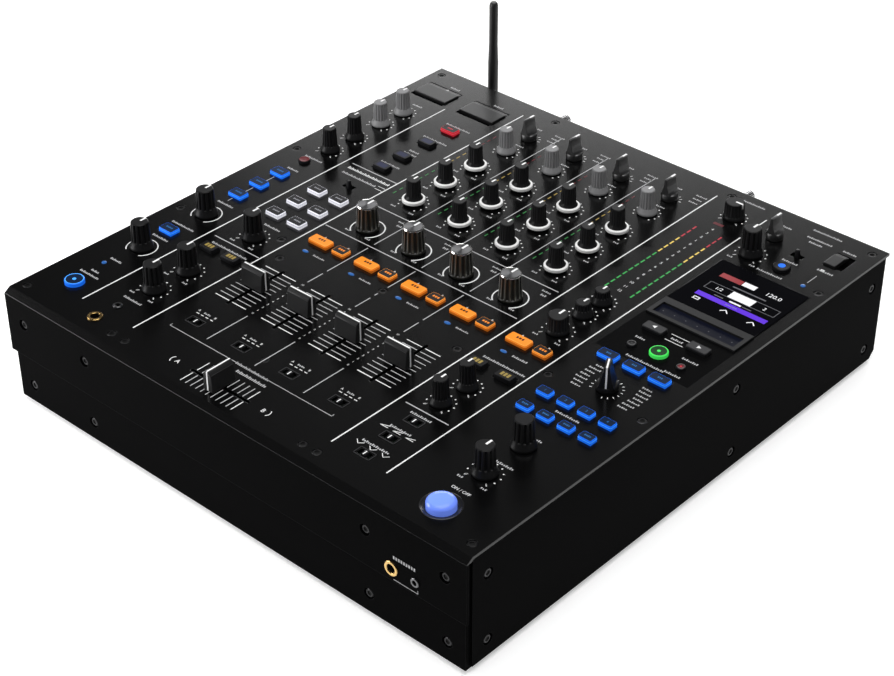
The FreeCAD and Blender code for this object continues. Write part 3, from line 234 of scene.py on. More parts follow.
for x, y in PANEL_SCREWS:
    add(screws, turned(SCREW_HEAD, SCREW_STEPS), at(x, y, TOP_SEAT))
for x in FRONT_SCREW_X:
    for drop, seat in zip(SCREW_DROPS, FRONT_SEATS):
        add(screws, turned(SCREW_HEAD, SCREW_STEPS), at(x, seat, -drop, 90, "X"))
for side in (-1, 1):
    for y in SIDE_SCREW_Y:
        for drop in SCREW_DROPS:
            add(screws, turned(SCREW_HEAD, SCREW_STEPS), at(SIDE_SEAT * side, y, -drop, 90 * side, "Y"))
piece("case_screw_heads", screws, "case", (screw_black, bore_black_and_recess_shade), ("case_screws",))


# Panel print: white and grey marks screen-printed on the top.
# Rules part the columns; ticks, dots and plain numbers show each control's range.
PRINT_THICK = 0.05
WHITE, GREY = 0, 1
STROKE_PITCH = 1.55
STROKE_HEIGHTS = (1.0, 0.72, 1.0, 0.72, 0.72)
KNOB_SWEEP = 135
RANGE_STEPS = 10
white_print = finish("white_print", (0.78, 0.78, 0.78), 0.55, 0.3, bump=0.05)
grey_print = finish("grey_print", (0.46, 0.46, 0.47), 0.55, 0.3, bump=0.05)
panel_print = bmesh.new()


def painted(shape, number):
    """Gives every face of a shape one finish number."""
    for face in shape.faces:
        face.material_index = number
    return shape


def slab(length, width, low, high, number=0):
    """A flat block between two heights, centred on the origin."""
    shape = bmesh.new()
    size = Matrix.Diagonal((length, width, high - low, 1))
    bmesh.ops.create_cube(shape, size=1, matrix=Matrix.Translation((0, 0, (low + high) / 2)) @ size)
    return painted(shape, number)


def rule(x, y, end_x, end_y, width, number=WHITE):
    """A straight printed line between two points of the panel."""
    line = slab(hypot(end_x - x, end_y - y), width, 0, PRINT_THICK, number)
    angle = degrees(atan2(end_y - y, end_x - x))
    add(panel_print, line, at((x + end_x) / 2, (y + end_y) / 2, 0, angle))


def ray(x, y, heading, inner, outer, width):
    """A tick that points away from a knob's middle; headings run anticlockwise from the right."""
    across = cos(radians(heading))
    along = sin(radians(heading))
    rule(x + inner * across, y + inner * along, x + outer * across, y + outer * along, width)


def dot(x, y, radius):
    shape = bmesh.new()
    bmesh.ops.create_cone(shape, cap_ends=True, segments=10, radius1=radius, radius2=radius,
                          depth=PRINT_THICK)
    add(panel_print, shape, at(x, y, PRINT_THICK / 2))


def arc(x, y, radius, start, end, width):
    """A printed band round a knob; angles run anticlockwise from the right."""
    shape = bmesh.new()
    corners = [shape.verts.new((radius + across * width / 2, 0, up * PRINT_THICK))
               for across, up in ((-1, 0), (1, 0), (1, 1), (-1, 1))]
    section = shape.faces.new(corners)
    bmesh.ops.spin(shape, geom=[section] + section.edges[:] + corners, cent=(0, 0, 0), axis=(0, 0, 1),
                   angle=radians(end - start), steps=28)
    add(panel_print, tidy(shape), at(x, y, 0, start))


def numeral(text, size):
    """A plain figure or mark as a thin mesh, centred on the origin."""
    curve = bpy.data.curves.new("numeral", "FONT")
    curve.body = text
    curve.size = size
    curve.align_x = "CENTER"
    curve.align_y = "CENTER"
    curve.extrude = PRINT_THICK / 2
    curve.resolution_u = 2
    holder = bpy.data.objects.new("numeral", curve)
    bpy.context.collection.objects.link(holder)
    data = bpy.data.meshes.new_from_object(holder)
    shape = bmesh.new()
    shape.from_mesh(data)
    bpy.data.objects.remove(holder)
    bpy.data.curves.remove(curve)
    bpy.data.meshes.remove(data)
    return tidy(shape)


def printed(text, x, y, size):
    add(panel_print, numeral(text, size), at(x, y, PRINT_THICK / 2))


def dashes(x, y, length, height=1.5, number=GREY):
    """A row of short strokes where a control has its legend."""
    strokes = max(2, round(length / STROKE_PITCH))
    for step in range(strokes):
        place = x + (step + 0.5 - strokes / 2) * STROKE_PITCH
        tall = height * STROKE_HEIGHTS[step % len(STROKE_HEIGHTS)]
        rule(place, y - height / 2, place, y - height / 2 + tall, 0.95, number)


def range_dots(x, y, radius, ticked=True):
    """Eleven dots from seven to five o'clock, with short end ticks where a knob has them."""
    for step in range(RANGE_STEPS + 1):
        angle = radians(90 + KNOB_SWEEP - 2 * KNOB_SWEEP / RANGE_STEPS * step)
        dot(x + radius * cos(angle), y + radius * sin(angle), 0.6)
    if ticked:
        for end in (-KNOB_SWEEP, KNOB_SWEEP):
            ray(x, y, 90 + end, radius - 1, radius + 1.4, 0.6)


CHANNEL_X = (-79, -36, 7, 50)
DIVIDER_X = (-61.3, -17.6, 25.4)
MIC_X = -175.5
MIC_KEY_X = -178
COLOUR_X = -128.5
MASTER_X = 97.5
SWITCH_X = 95.2
ROUTE_X = 134.7
EFFECT_X = 159.5
COLUMN_RULES = ((-156, 22, 372), (-105.7, 22, 404), (72.5, 22, 405), (117.3, 22, 370), (117.3, 379, 401))
CROSS_RULES = ((-104, 69, 193.3), (-104, 69, 235), (-150, -107, 133), (-150, -106.5, 266.7), (78, 113, 80))
for x, start, end in COLUMN_RULES:
    rule(x, start, x, end, 0.95)
for x in DIVIDER_X:
    round_screw = ((152, 155), (164.5, 191)) if x == DIVIDER_X[1] else ((152, 191),)
    for start, end in ((45, 80), (134, 148), *round_screw, (197, 232), (238, 395)):
        rule(x, start, x, end, 0.7, GREY)
for start, end, y in CROSS_RULES:
    rule(start, y, end, y, 0.8, GREY)

TONE_ROWS = (("high", 320), ("mid", 288), ("low", 255))
TRIM_ROW = 353.5
COLOUR_ROW = 209
SOURCE_ROW = 379
LAMP_ROW = 160
ASSIGN_ROW = 64
CUE_LETTER_ROW = 181.2
LETTER_SIZE = 2.8
FADER_SHIFT = -3
FADER_FRONT = 84.5
FADER_PITCH = 4.48
FADER_STEPS = 10
for x in CHANNEL_X:
    for band, row in TONE_ROWS:
        range_dots(x, row, 10.6, ticked=False)
        for side in (-1, 1):
            dashes(x + 8.5 * side, row - 11.8, 4.4)
        dashes(x, row + 12, 4.4)
    range_dots(x, TRIM_ROW, 9.4, ticked=False)
    dashes(x + 2, TRIM_ROW + 12.8, 7)
    arc(x, COLOUR_ROW, 12, -55, 235, 0.95)
    for side in (-1, 1):
        dashes(x + 9.5 * side, COLOUR_ROW - 10, 4.5)
    dashes(x + 13, COLOUR_ROW + 21, 8)
    dashes(x + 14, COLOUR_ROW + 16.5, 5, 2)
    for step in range(3):
        row = SOURCE_ROW + 17 - 5 * step
        dashes(x + 15.5, row, 9 - step)
        dashes(x - 3 - step * 2, row - 1, 4)
        ray(x, SOURCE_ROW, 60 - 25 * step, 7.2, 9, 0.5)
    slot_x = x + FADER_SHIFT
    for step in range(FADER_STEPS + 1):
        row = FADER_FRONT + FADER_PITCH * step
        at_end = step in (0, FADER_STEPS)
        for side in (-1, 1):
            rule(slot_x + 1.5 * side, row, slot_x + 14.3 * side, row,
                 0.75 if at_end else 0.6, WHITE if at_end else GREY)
        if x != CHANNEL_X[-1]:
            printed(str(step), x + 17.7, row, 2.3)
    printed("A", x - 13, CUE_LETTER_ROW, LETTER_SIZE)
    printed("B", x + 8.5, CUE_LETTER_ROW, LETTER_SIZE)
    printed("A", x - 10, ASSIGN_ROW, LETTER_SIZE)
    printed("B", x + 4.6, ASSIGN_ROW, LETTER_SIZE)
    dashes(x - 2.7, ASSIGN_ROW, 6)
    for step in range(4):
        rule(x - 9.8 + 4.3 * step, ASSIGN_ROW - 3, x - 7.3 + 4.3 * step, ASSIGN_ROW - 3, 0.6)
    dashes(x + 1.8, LAMP_ROW, 11)

CROSS_ROW = 16.2
CROSS_STEPS = 10
CROSS_PITCH = 4.55
CROSS_LEFT = -40.4
ASSIGN_RULE = 39.8
for step in range(CROSS_STEPS + 1):
    x = CROSS_LEFT + CROSS_PITCH * step
    tone = WHITE if step in (0, CROSS_STEPS / 2, CROSS_STEPS) else GREY
    rule(x, 4, x, 14.4, 0.65, tone)
    rule(x, 17.9, x, 28.4, 0.65, tone)
rule(-90.5, ASSIGN_RULE, 55, ASSIGN_RULE, 0.45, GREY)
for x in (-90.5, 55):
    rule(x, ASSIGN_RULE, x, ASSIGN_RULE + 2.2, 0.45, GREY)
printed("A", -56.5, CROSS_ROW, 5)
arc(-58.5, CROSS_ROW, 3.6, 130, 230, 0.6)
printed("B", 20.5, CROSS_ROW, 5)
arc(22.5, CROSS_ROW, 3.6, -50, 50, 0.6)
dashes(-14, ASSIGN_RULE, 30, 2)
dashes(-9, 34, 26, 2.4)

LARGE_KNOBS = {
    "phones_a_mix_knob": (-129.5, 90.3),
    "phones_a_level_knob": (-129.5, 60.8),
    "colour_parameter_knob": (COLOUR_X, 148.8),
    "mic_effect_knob": (MIC_X, 148.2),
    "mic_reverb_knob": (MIC_X, 89.6),
    "effect_time_knob": (EFFECT_X, 94.2),
    "effect_depth_knob": (EFFECT_X, 59.9),
}
SLIM_KNOBS = {"phones_b_mix_knob": (95.5, 116.3), "phones_b_level_knob": (94.5, 93.4)}
MIC_ROWS = {"mic_level_1": 346.8, "mic_level_2": 322.6, "mic_high": 294.8, "mic_low": 269.3}
BOOTH_ROWS = {"booth_high": 244.7, "booth_low": 225}
ROUTE_LEVEL = (ROUTE_X, 357.4)
MASTER_LEVEL = (98.5, 388.5)
BOOTH_LEVEL = (MASTER_X, 200)
DOTTED = ("phones_a_mix_knob", "phones_a_level_knob", "colour_parameter_knob", "effect_depth_knob")
for name in ("mic_effect_knob", "mic_reverb_knob"):
    arc(*LARGE_KNOBS[name], 10.8, -55, 235, 0.8)
for x, y in (*[LARGE_KNOBS[name] for name in DOTTED], ROUTE_LEVEL, BOOTH_LEVEL):
    range_dots(x, y, 10.8)
    for side in (-1, 1):
        dashes(x + 9 * side, y - 11.5, 4.6)
for x, y in (*SLIM_KNOBS.values(), MASTER_LEVEL):
    range_dots(x, y, 9.4)
for y in MIC_ROWS.values():
    range_dots(MIC_X, y, 9.4)
for y in BOOTH_ROWS.values():
    range_dots(MASTER_X, y, 9.4)

EFFECT_LEGEND_X = 160
LEGEND_HEIGHT = 1.9
COLUMN_LEGENDS = (
    (MIC_X, ((252.3, 17), (231.5, 11), (166, 15), (126.5, 21), (106, 15), (67, 11), (49, 7), (44, 18))),
    (COLOUR_X, ((356.5, 24), (331, 24), (308.5, 9), (304, 13), (283.3, 19), (166, 15), (126.3, 34))),
    (MASTER_X, ((412, 22), (148, 34))),
    (SWITCH_X, ((75, 17), (57.2, 17), (36, 22))),
    (EFFECT_LEGEND_X, ((412, 23), (402, 20), (397, 11), (366.5, 12), (242, 9), (209, 29), (133.8, 19),
                       (104, 11))),
)
OTHER_LEGENDS = ((-175, 362, 9), (-172, 401.5, 9), (-128, 401.5, 9), (-130, 42.5, 17), (100, LAMP_ROW, 12),
                 (132, 402, 11), (184, 402, 11), (184.5, 371.5, 12), (158, 345.5, 20), (141, 229, 8),
                 (180, 229, 13), (180, 210.5, 12), (163, 73, 14))
for x, rows in COLUMN_LEGENDS:
    for y, length in rows:
        dashes(x, y, length, LEGEND_HEIGHT)
for x, y, length in OTHER_LEGENDS:
    dashes(x, y, length, LEGEND_HEIGHT)
dashes(COLOUR_X, 261, 40, 2.6, WHITE)
dashes(-131, 253.5, 32, 2.2)
for y in (251.6, 255.4):
    rule(-113.5, y, -106.8, y, 0.4)
printed("ON / OFF", EFFECT_LEGEND_X, 38.6, 3.4)
for y in (238.6, 245.8):
    rule(153, y, 167, y, 0.5)

HEAD_ROW = 172.3
for step in range(7):
    row = 163 + 4.1 * step
    bulge = 3 * cos(radians(26 * (step - 3)))
    dashes(143 - bulge, row, 7 + step % 3)
    dashes(178 + bulge, row, 8 + step % 3)
for step in range(15):
    ray(EFFECT_X, HEAD_ROW, -70 + 20 * step, 9.4, 11, 0.5)

for x in (SWITCH_X - 10.2, SWITCH_X, SWITCH_X + 10.2):
    rule(x - 3.2, 53.8, x + 3.2, 53.8, 0.5)
    rule(x - 3.2, 53.8, x + 3.2, 56, 0.5)
    rule(x - 3, 34.2, x, 31.4, 0.5)
    rule(x, 31.4, x + 3, 34.2, 0.5)
printed("A", MASTER_X - 13, CUE_LETTER_ROW, LETTER_SIZE)
printed("B", MASTER_X + 8.5, CUE_LETTER_ROW, LETTER_SIZE)
printed("A", -175, 396, 3)
rule(180.5, 372, 183.5, 372, 2.6)
rule(183, 353, 183, 364, 0.5, GREY)
for start, end in ((186.3, 194.9), (206.3, 215.4), (170.5, 175)):
    rule(MIC_KEY_X, start, MIC_KEY_X, end, 0.6, GREY)
piece("panel_print", panel_print, "case", (white_print, grey_print))


# Effects plate: a thin sheet of gloss black film bonded round the beat keys and under the display.
# Its edge shows as a faint step on the matt panel.
film_black = finish("film_black", (0.003, 0.003, 0.0032), 0.2, 0.03, bump=0.02)
FILM_THICK = 0.03
film = bmesh.new()
add(film, slab(72, 50, 0, FILM_THICK), at(EFFECT_X, 230.5))
piece("effects_film", film, "case", (film_black,))


# Level meters: rows of small lit windows set flush in the panel.
# Green below, yellow above, red at the head; plain figures stand between the master columns.
meter_green = finish("meter_green", (0.03, 0.26, 0.06), 0.4, 0.1, glow=0.55)
meter_yellow = finish("meter_yellow", (0.55, 0.4, 0.09), 0.4, 0.1, glow=0.6)
meter_red = finish("meter_red", (0.32, 0.02, 0.035), 0.4, 0.1, glow=0.5)
dim_green = finish("dim_green", (0.022, 0.13, 0.036), 0.4, 0.1, glow=0.4)
dim_yellow = finish("dim_yellow", (0.24, 0.17, 0.045), 0.4, 0.1, glow=0.4)
dim_red = finish("dim_red", (0.09, 0.01, 0.014), 0.4, 0.1, glow=0.3)
clip_red = finish("clip_red", (0.08, 0.008, 0.012), 0.4, 0.1, glow=0.3)
METER_FINISHES = (meter_green, meter_yellow, meter_red, dim_green, dim_yellow, dim_red)
BRIGHT, DIM = 0, 3
GREEN_STEPS = 9
YELLOW_STEPS = 13
METER_STEPS = 16
MASTER_METER_X = (86.4, 107.6)
MASTER_METER_FRONT = 263.5
MASTER_METER_PITCH = 6.4
CHANNEL_METER_SHIFT = -20.2
CHANNEL_WINDOW = (0.9, 3.6)
meters = bmesh.new()


def meter(x, front, pitch, window, level):
    """A column of windows; the level is the number of its green finish."""
    for step in range(METER_STEPS):
        shade = level + (step >= GREEN_STEPS) + (step >= YELLOW_STEPS)
        add(meters, slab(*window, 0, PRINT_THICK, shade), at(x, front + pitch * step))


for x in MASTER_METER_X:
    meter(x, MASTER_METER_FRONT, MASTER_METER_PITCH, (1.15, 4.4), BRIGHT)
for x in CHANNEL_X:
    meter(x + CHANNEL_METER_SHIFT, 257, 6.7, CHANNEL_WINDOW, DIM)
    add(meters, slab(*CHANNEL_WINDOW, 0, PRINT_THICK, DIM + 2), at(x + CHANNEL_METER_SHIFT, 364))
piece("level_meters", meters, "case", METER_FINISHES)
scale_print = bmesh.new()
for step in range(METER_STEPS + 1):
    row = MASTER_METER_FRONT + MASTER_METER_PITCH * step
    add(scale_print, numeral(str(abs(12 - step)), 3.4), at(97, row, PRINT_THICK / 2))
add(scale_print, slab(8, 2.8, 0, PRINT_THICK, 1), at(96, 374))
piece("meter_scale", scale_print, "case", (white_print, clip_red))


# Signal lamps: small blue lenses beside the cue keys, the microphone and the routing column.
# Each is a moulded lens pressed into the panel from below.
lamp_blue = finish("lamp_blue", (0.018, 0.085, 0.27), 0.25, 0.2, glow=0.5)
LENS = ((0, ((1.75, 0), (1.6, 0.35), (0.9, 0.6), (0, 0.7))),)
LENS_STEPS = 20
CUE_COLUMNS = CHANNEL_X + (MASTER_X,)
lamps = bmesh.new()
for x in CUE_COLUMNS:
    lens = turned(LENS, LENS_STEPS)
    lens.transform(Matrix.Diagonal((1.5, 0.8, 1, 1)))
    add(lamps, lens, at(x - 10.8, LAMP_ROW))
for x, y in ((-179.5, 60), (183, 348)):
    add(lamps, turned(LENS, LENS_STEPS), at(x, y))
piece("signal_lamps", lamps, "case", (lamp_blue,))


# Tone knobs: black moulded caps, faintly fluted, with a thick white ring low down.
# Each is pushed on to a potentiometer shaft; a white line on the top shows its setting.
knob_black = finish("knob_black", (0.009, 0.009, 0.0095), 0.34, 0.1, grain=4200, bump=0.08)
knob_ring = finish("knob_ring", (0.84, 0.84, 0.83), 0.4, 0.4, bump=0.05)
knob_mark = finish("knob_mark", (0.88, 0.88, 0.88), 0.45, 0.4, bump=0.05)
TONE_HEIGHT = 19.4
TONE_KNOB = (
    (0, ((0, 0.6), (7.2, 0.6), (7.2, 2.2))),
    (1, ((7.2, 2.2), (8.1, 2.2), (8.3, 2.45), (8.3, 4.1), (8.0, 4.45), (6.7, 4.7))),
    (0, ((6.7, 4.7), (6.3, 5.4), (5.6, 6.3), (5.5, 7), (5.4, 7.2), (5.0, 18.2), (4.9, 18.5), (4.8, 18.9),
         (4.3, TONE_HEIGHT), (0, TONE_HEIGHT))),
)


def fluted(shape, count, depth, low, high, power=1):
    """Cuts upright grooves round a cap between two heights; a higher power makes them narrower."""
    for vertex in shape.verts:
        radius = hypot(vertex.co.x, vertex.co.y)
        if low < vertex.co.z < high and radius > 3:
            cut = depth * ((1 - cos(count * atan2(vertex.co.y, vertex.co.x))) / 2) ** power
            vertex.co.x *= (radius - cut) / radius
            vertex.co.y *= (radius - cut) / radius
    return shape


def pointer(shape, radius, height, reach, number, width=1.3):
    """A white line from near the middle of the top to its edge and a little down the side."""
    add(shape, slab(width, radius * 0.86, height - 0.3, height + 0.06, number), at(0, radius * 0.56))
    add(shape, slab(width, 0.5, height - reach, height - 0.4, number), at(0, radius - 0.1))


def placed(cap, place):
    """A knob cap, drawn about the origin, at its place on the panel."""
    knob = bmesh.new()
    add(knob, cap, place)
    return knob


for channel, x in enumerate(CHANNEL_X, start=1):
    for band, row in TONE_ROWS:
        cap = fluted(turned(TONE_KNOB, 72), count=18, depth=0.34, low=6.9, high=18.6)
        pointer(cap, radius=4.7, height=TONE_HEIGHT, reach=4.6, number=2)
        name = f"{band}_knob_{channel}"
        surfaces = (knob_black, knob_ring, knob_mark)
        piece(f"{band}_cap_{channel}", placed(cap, at(x, row)), name, surfaces, (name,))


# Trim knobs and microphone level knobs: mid-grey moulded caps with a flared skirt.
# The same tool moulds the dark caps of the microphone tone and second phones knobs; the two booth
# tone knobs are cut short.
knob_grey = finish("knob_grey", (0.2, 0.2, 0.204), 0.4, 0.2, grain=4200, bump=0.1)
SLIM_HEIGHT = 19.0
BOOTH_HEIGHT = 10.2


def slim_cap(x, y, height=SLIM_HEIGHT):
    profile = ((0, 0.6), (7.0, 0.6), (7.1, 0.9), (7.1, 1.9), (6.9, 2.3), (5.8, 4.4), (5.5, 5.0), (5.45, 5.3),
               (5.0, height - 1.4), (4.95, height - 1.0), (4.8, height - 0.5), (4.3, height), (0, height))
    cap = fluted(turned(((0, profile),), 96), count=16, depth=0.6, low=5.2, high=height - 0.9, power=2)
    pointer(cap, radius=4.7, height=height, reach=4.2, number=1)
    return placed(cap, at(x, y))


for channel, x in enumerate(CHANNEL_X, start=1):
    name = f"trim_knob_{channel}"
    piece(f"trim_cap_{channel}", slim_cap(x, TRIM_ROW), name, (knob_grey, knob_mark), (name,))
for name, (x, y) in SLIM_KNOBS.items():
    piece(f"{name}_cap", slim_cap(x, y), name, (knob_black, knob_mark), (name,))
for label, y in MIC_ROWS.items():
    level = label.startswith("mic_level")
    surfaces = (knob_grey if level else knob_black, knob_mark)
    piece(f"{label}_cap", slim_cap(MIC_X, y), "case", surfaces, ("set_up_knobs",))
for label, y in BOOTH_ROWS.items():
    cap = slim_cap(MASTER_X, y, BOOTH_HEIGHT)
    piece(f"{label}_cap", cap, "case", (knob_black, knob_mark), ("set_up_knobs",))


# Large knobs: black caps with twelve narrow grooves for a finger hold and a flared skirt.
# They serve the phones, effects and microphone levels; the effect time knob has no white line.
LARGE_HEIGHT = 20.6
LARGE_KNOB = (
    (0, ((0, 0.6), (8.1, 0.6), (8.2, 0.9), (8.2, 1.9), (8.0, 2.3), (7.0, 5.0), (6.75, 5.9), (6.7, 6.3),
         (6.25, 19.0), (6.2, 19.4), (6.0, 20.1), (5.4, LARGE_HEIGHT), (0, LARGE_HEIGHT))),
)


def large_cap(x, y, marked=True):
    cap = fluted(turned(LARGE_KNOB, 96), count=12, depth=1.1, low=6.0, high=19.5, power=3)
    if marked:
        pointer(cap, radius=5.9, height=LARGE_HEIGHT, reach=5.0, number=1, width=1.5)
    return placed(cap, at(x, y))


for name, (x, y) in LARGE_KNOBS.items():
    cap = large_cap(x, y, marked=name != "effect_time_knob")
    piece(f"{name}_cap", cap, name, (knob_black, knob_mark), (name,))
piece("route_level_cap", large_cap(*ROUTE_LEVEL), "case", (knob_black, knob_mark),
      ("set_up_knobs",))


# Master and booth level knobs: wide, low black caps with a tapered side.
# The master knob's white line points to the right at rest.
MASTER_HEIGHT = 13.0
MASTER_KNOB = (
    (0, ((0, 0.6), (7.7, 0.6), (7.8, 0.9), (7.8, 1.9), (7.6, 2.3), (7.3, 3.0), (7.25, 3.3), (6.75, 11.7),
         (6.7, 12.0), (6.5, 12.6), (6.0, MASTER_HEIGHT), (0, MASTER_HEIGHT))),
)
for name, place, heading in (("master_level_knob", MASTER_LEVEL, -90), ("booth_level_knob", BOOTH_LEVEL, 0)):
    cap = fluted(turned(MASTER_KNOB, 80), count=20, depth=0.5, low=3.1, high=12.1)
    pointer(cap, radius=6.5, height=MASTER_HEIGHT, reach=4.0, number=1, width=1.5)
    knob = placed(cap, at(*place, turn=heading))
    piece(f"{name}_cap", knob, name, (knob_black, knob_mark), (name,))


# Colour effect knobs: caps of dark chrome with straight flutes, a bright cut rim and a spun top.
# Painted shade darkens the skirt and the flute valleys; a painted highlight and reflection run over the
# crests.
# The white line is inlaid across the top.
# Painted shade: a dark, non-metal copy of the chrome for the skirt and the flute valleys.
chrome_side_shade = finish("chrome_side_shade", (0.012, 0.012, 0.01), 0.3, 0.3, bump=0.0)
chrome_rim = finish("chrome_rim", (0.78, 0.77, 0.76), 0.16, 0.5, metallic=1.0, bump=0.0)
lit_chrome_rib = finish("lit_chrome_rib", (0.6, 0.595, 0.58), 0.3, 0.5, metallic=1.0, bump=0.0)
rib_nodes = lit_chrome_rib.node_tree.nodes
# Painted highlight and reflection on the crests: dark olive where they face the view, white where they turn
# away.
slant = rib_nodes.new("ShaderNodeLayerWeight")
painted_glint = rib_nodes.new("ShaderNodeMix")
painted_glint.data_type = "RGBA"
painted_glint.inputs["A"].default_value = (0.11, 0.105, 0.06, 1)
painted_glint.inputs["B"].default_value = (1, 0.99, 0.97, 1)
lit_chrome_rib.node_tree.links.new(slant.outputs["Facing"], painted_glint.inputs["Factor"])
lit_chrome_rib.node_tree.links.new(painted_glint.outputs["Result"], rib_nodes["Principled BSDF"].inputs["Base Color"])
spun_top = finish("spun_top", (0.16, 0.16, 0.165), 0.3, 0.5, metallic=1.0, bump=0.0)
spun_shader = spun_top.node_tree.nodes["Principled BSDF"]
spun_shader.inputs["Anisotropic"].default_value = 0.85
spun_round = spun_top.node_tree.nodes.new("ShaderNodeTangent")
spun_round.direction_type = "UV_MAP"
spun_round.uv_map = "spun"
spun_top.node_tree.links.new(spun_round.outputs["Tangent"], spun_shader.inputs["Tangent"])
CHROME_FINISHES = (chrome_side_shade, chrome_rim, spun_top, knob_mark, lit_chrome_rib)
SHADED_SIDE, RIM, TOP, MARK, LIT_RIB = range(5)
RIBS = 14
RIB_FOOT = 2.6
COLOUR_KNOB = (
    (SHADED_SIDE, ((0, 0.6), (8.3, 0.6), (8.4, 0.8), (8.4, 1.9), (8.2, 2.2), (7.95, 2.4), (8.1, 2.7), (7.85, 6),
            (7.6, 10.5), (7.4, 15), (7.3, 18.2), (7.3, 18.5))),
    (RIM, ((7.3, 18.5), (7.25, 18.9), (6.8, 19.6), (6.5, 19.6), (6.3, 19.4))),
    (TOP, ((6.3, 19.4), (0, 19.4))),
)
for channel, x in enumerate(CHANNEL_X, start=1):
    cap = fluted(turned(COLOUR_KNOB, 12 * RIBS), count=RIBS, depth=0.8, low=RIB_FOOT, high=18.4)
    pointer(cap, radius=6.7, height=19.55, reach=4.4, number=MARK, width=1.5)
    round_map = cap.loops.layers.uv.new("spun")
    for face in cap.faces:
        middle = face.calc_center_median()
        heading = atan2(middle.y, middle.x)
        # Crest faces take the lit chrome; valleys and skirt keep the painted shade.
        if face.material_index == SHADED_SIDE and middle.z > RIB_FOOT and cos(RIBS * heading) > 0.35:
            face.material_index = LIT_RIB
        for loop in face.loops:
            turn = atan2(loop.vert.co.y, loop.vert.co.x) - heading
            loop[round_map].uv = ((turn + pi) % (2 * pi) - pi, loop.vert.co.xy.length)
    knob = placed(cap, at(x, COLOUR_ROW))
    name = f"colour_knob_{channel}"
    piece(f"colour_cap_{channel}", knob, name, CHROME_FINISHES, (name,))


# Selectors: a round black deck with a thin upright blade to hold, hollowed on both sides.
# A white mark on the blade's top shows the chosen source.
selector_gloss = finish("selector_gloss", (0.01, 0.01, 0.0105), 0.38, 0.8, bump=0.0)
selector_shader = selector_gloss.node_tree.nodes["Principled BSDF"]
selector_shader.inputs["Coat Weight"].default_value = 0.6
selector_shader.inputs["Coat Roughness"].default_value = 0.3
SELECTOR_DECK = ((0, ((0, 0.6), (5.9, 0.6), (6, 0.9), (6, 4.7), (5.7, 5.2), (5.2, 5.5), (0, 5.5))),)
SELECTOR_BLADE = ((4.3, 4.9), (3.7, 5.9), (2.9, 7.4), (2.2, 9.3), (1.6, 11.6), (1.2, 14), (1.0, 16.2),
                  (0.95, 17.5))


def blade(section, length):
    """A bar of the given half section, drawn as (half width, height), along y."""
    shape = bmesh.new()
    outline = [*section, *[(-half, height) for half, height in reversed(section)]]
    corners = [shape.verts.new((across, -length / 2, height)) for across, height in outline]
    end = shape.faces.new(corners)
    grown = bmesh.ops.extrude_face_region(shape, geom=[end])
    far = [item for item in grown["geom"] if isinstance(item, bmesh.types.BMVert)]
    bmesh.ops.translate(shape, verts=far, vec=(0, length, 0))
    return tidy(shape)


def rounded(shape, offset, segments=2):
    """Rounds the sharp edges of a shape."""
    sharp = [edge for edge in shape.edges if len(edge.link_faces) == 2 and edge.calc_face_angle(0) > 0.6]
    bmesh.ops.bevel(shape, geom=sharp, offset=offset, offset_type="OFFSET", affect="EDGES", segments=segments,
                    profile=0.5, material=-1, clamp_overlap=True)
    return shape


def selector_cap(x, y):
    knob = bmesh.new()
    add(knob, turned(SELECTOR_DECK, 48), at(x, y))
    add(knob, rounded(blade(SELECTOR_BLADE, 11.0), 0.25), at(x, y))
    add(knob, slab(1.5, 4.6, 17.3, 17.58, 1), at(x, y + 3.1))
    add(knob, slab(1.5, 0.12, 13.8, 17.4, 1), at(x, y + 5.5))
    return knob


for channel, x in enumerate(CHANNEL_X, start=1):
    name = f"source_selector_{channel}"
    cap = selector_cap(x, SOURCE_ROW)
    piece(f"source_cap_{channel}", cap, name, (selector_gloss, knob_mark), (name,))
piece("route_selector_cap", selector_cap(ROUTE_X, 385), "case", (selector_gloss, knob_mark),
      ("set_up_knobs",))


# Effect selector: a wedge-shaped pointer knob, broad at the foot and narrow at the ridge.
# A white line runs along the ridge and down the nose.
HEAD_REST = -150
HEAD_DECK = ((0, ((0, 0.6), (7.1, 0.6), (7.2, 0.9), (7.2, 3.7), (6.9, 4.2), (6.4, 4.5), (0, 4.5))),)
HEAD_FOOT = 3.9
HEAD_TOP = 19
HEAD_WEDGE = ((5.5, HEAD_FOOT), (4.4, 6.2), (3.2, 10.5), (2.2, 15.6), (1.75, HEAD_TOP))
HEAD_LEAN = 1.3
knob = bmesh.new()
head = at(EFFECT_X, HEAD_ROW, 0, HEAD_REST)
add(knob, turned(HEAD_DECK, 56), head)
wedge = blade(HEAD_WEDGE, 13.4)
for vertex in wedge.verts:
    share = (vertex.co.z - HEAD_FOOT) / (HEAD_TOP - HEAD_FOOT)
    vertex.co.y -= share * HEAD_LEAN * (1 if vertex.co.y > 0 else -1)
add(knob, rounded(wedge, 0.35), head)
add(knob, slab(1.1, 9.8, HEAD_TOP - 0.3, HEAD_TOP + 0.06, 1), head @ at(0, 0.4))
add(knob, slab(1.1, 14.8, -0.06, 0.1, 1), head @ at(0, 6.05, 11.5, 95, "X"))
piece("effect_selector_cap", knob, "effect_selector", (knob_black, knob_mark),
      ("effect_selector",))


# Fader caps: black mouldings with two large flat faces that meet in a narrow ridge.
# A white line is filled in along the ridge and down one end; the stem runs in the slot.
fader_black = finish("fader_black", (0.013, 0.013, 0.0135), 0.34, 0.15, grain=4200, bump=0.08, edge=0.0004)
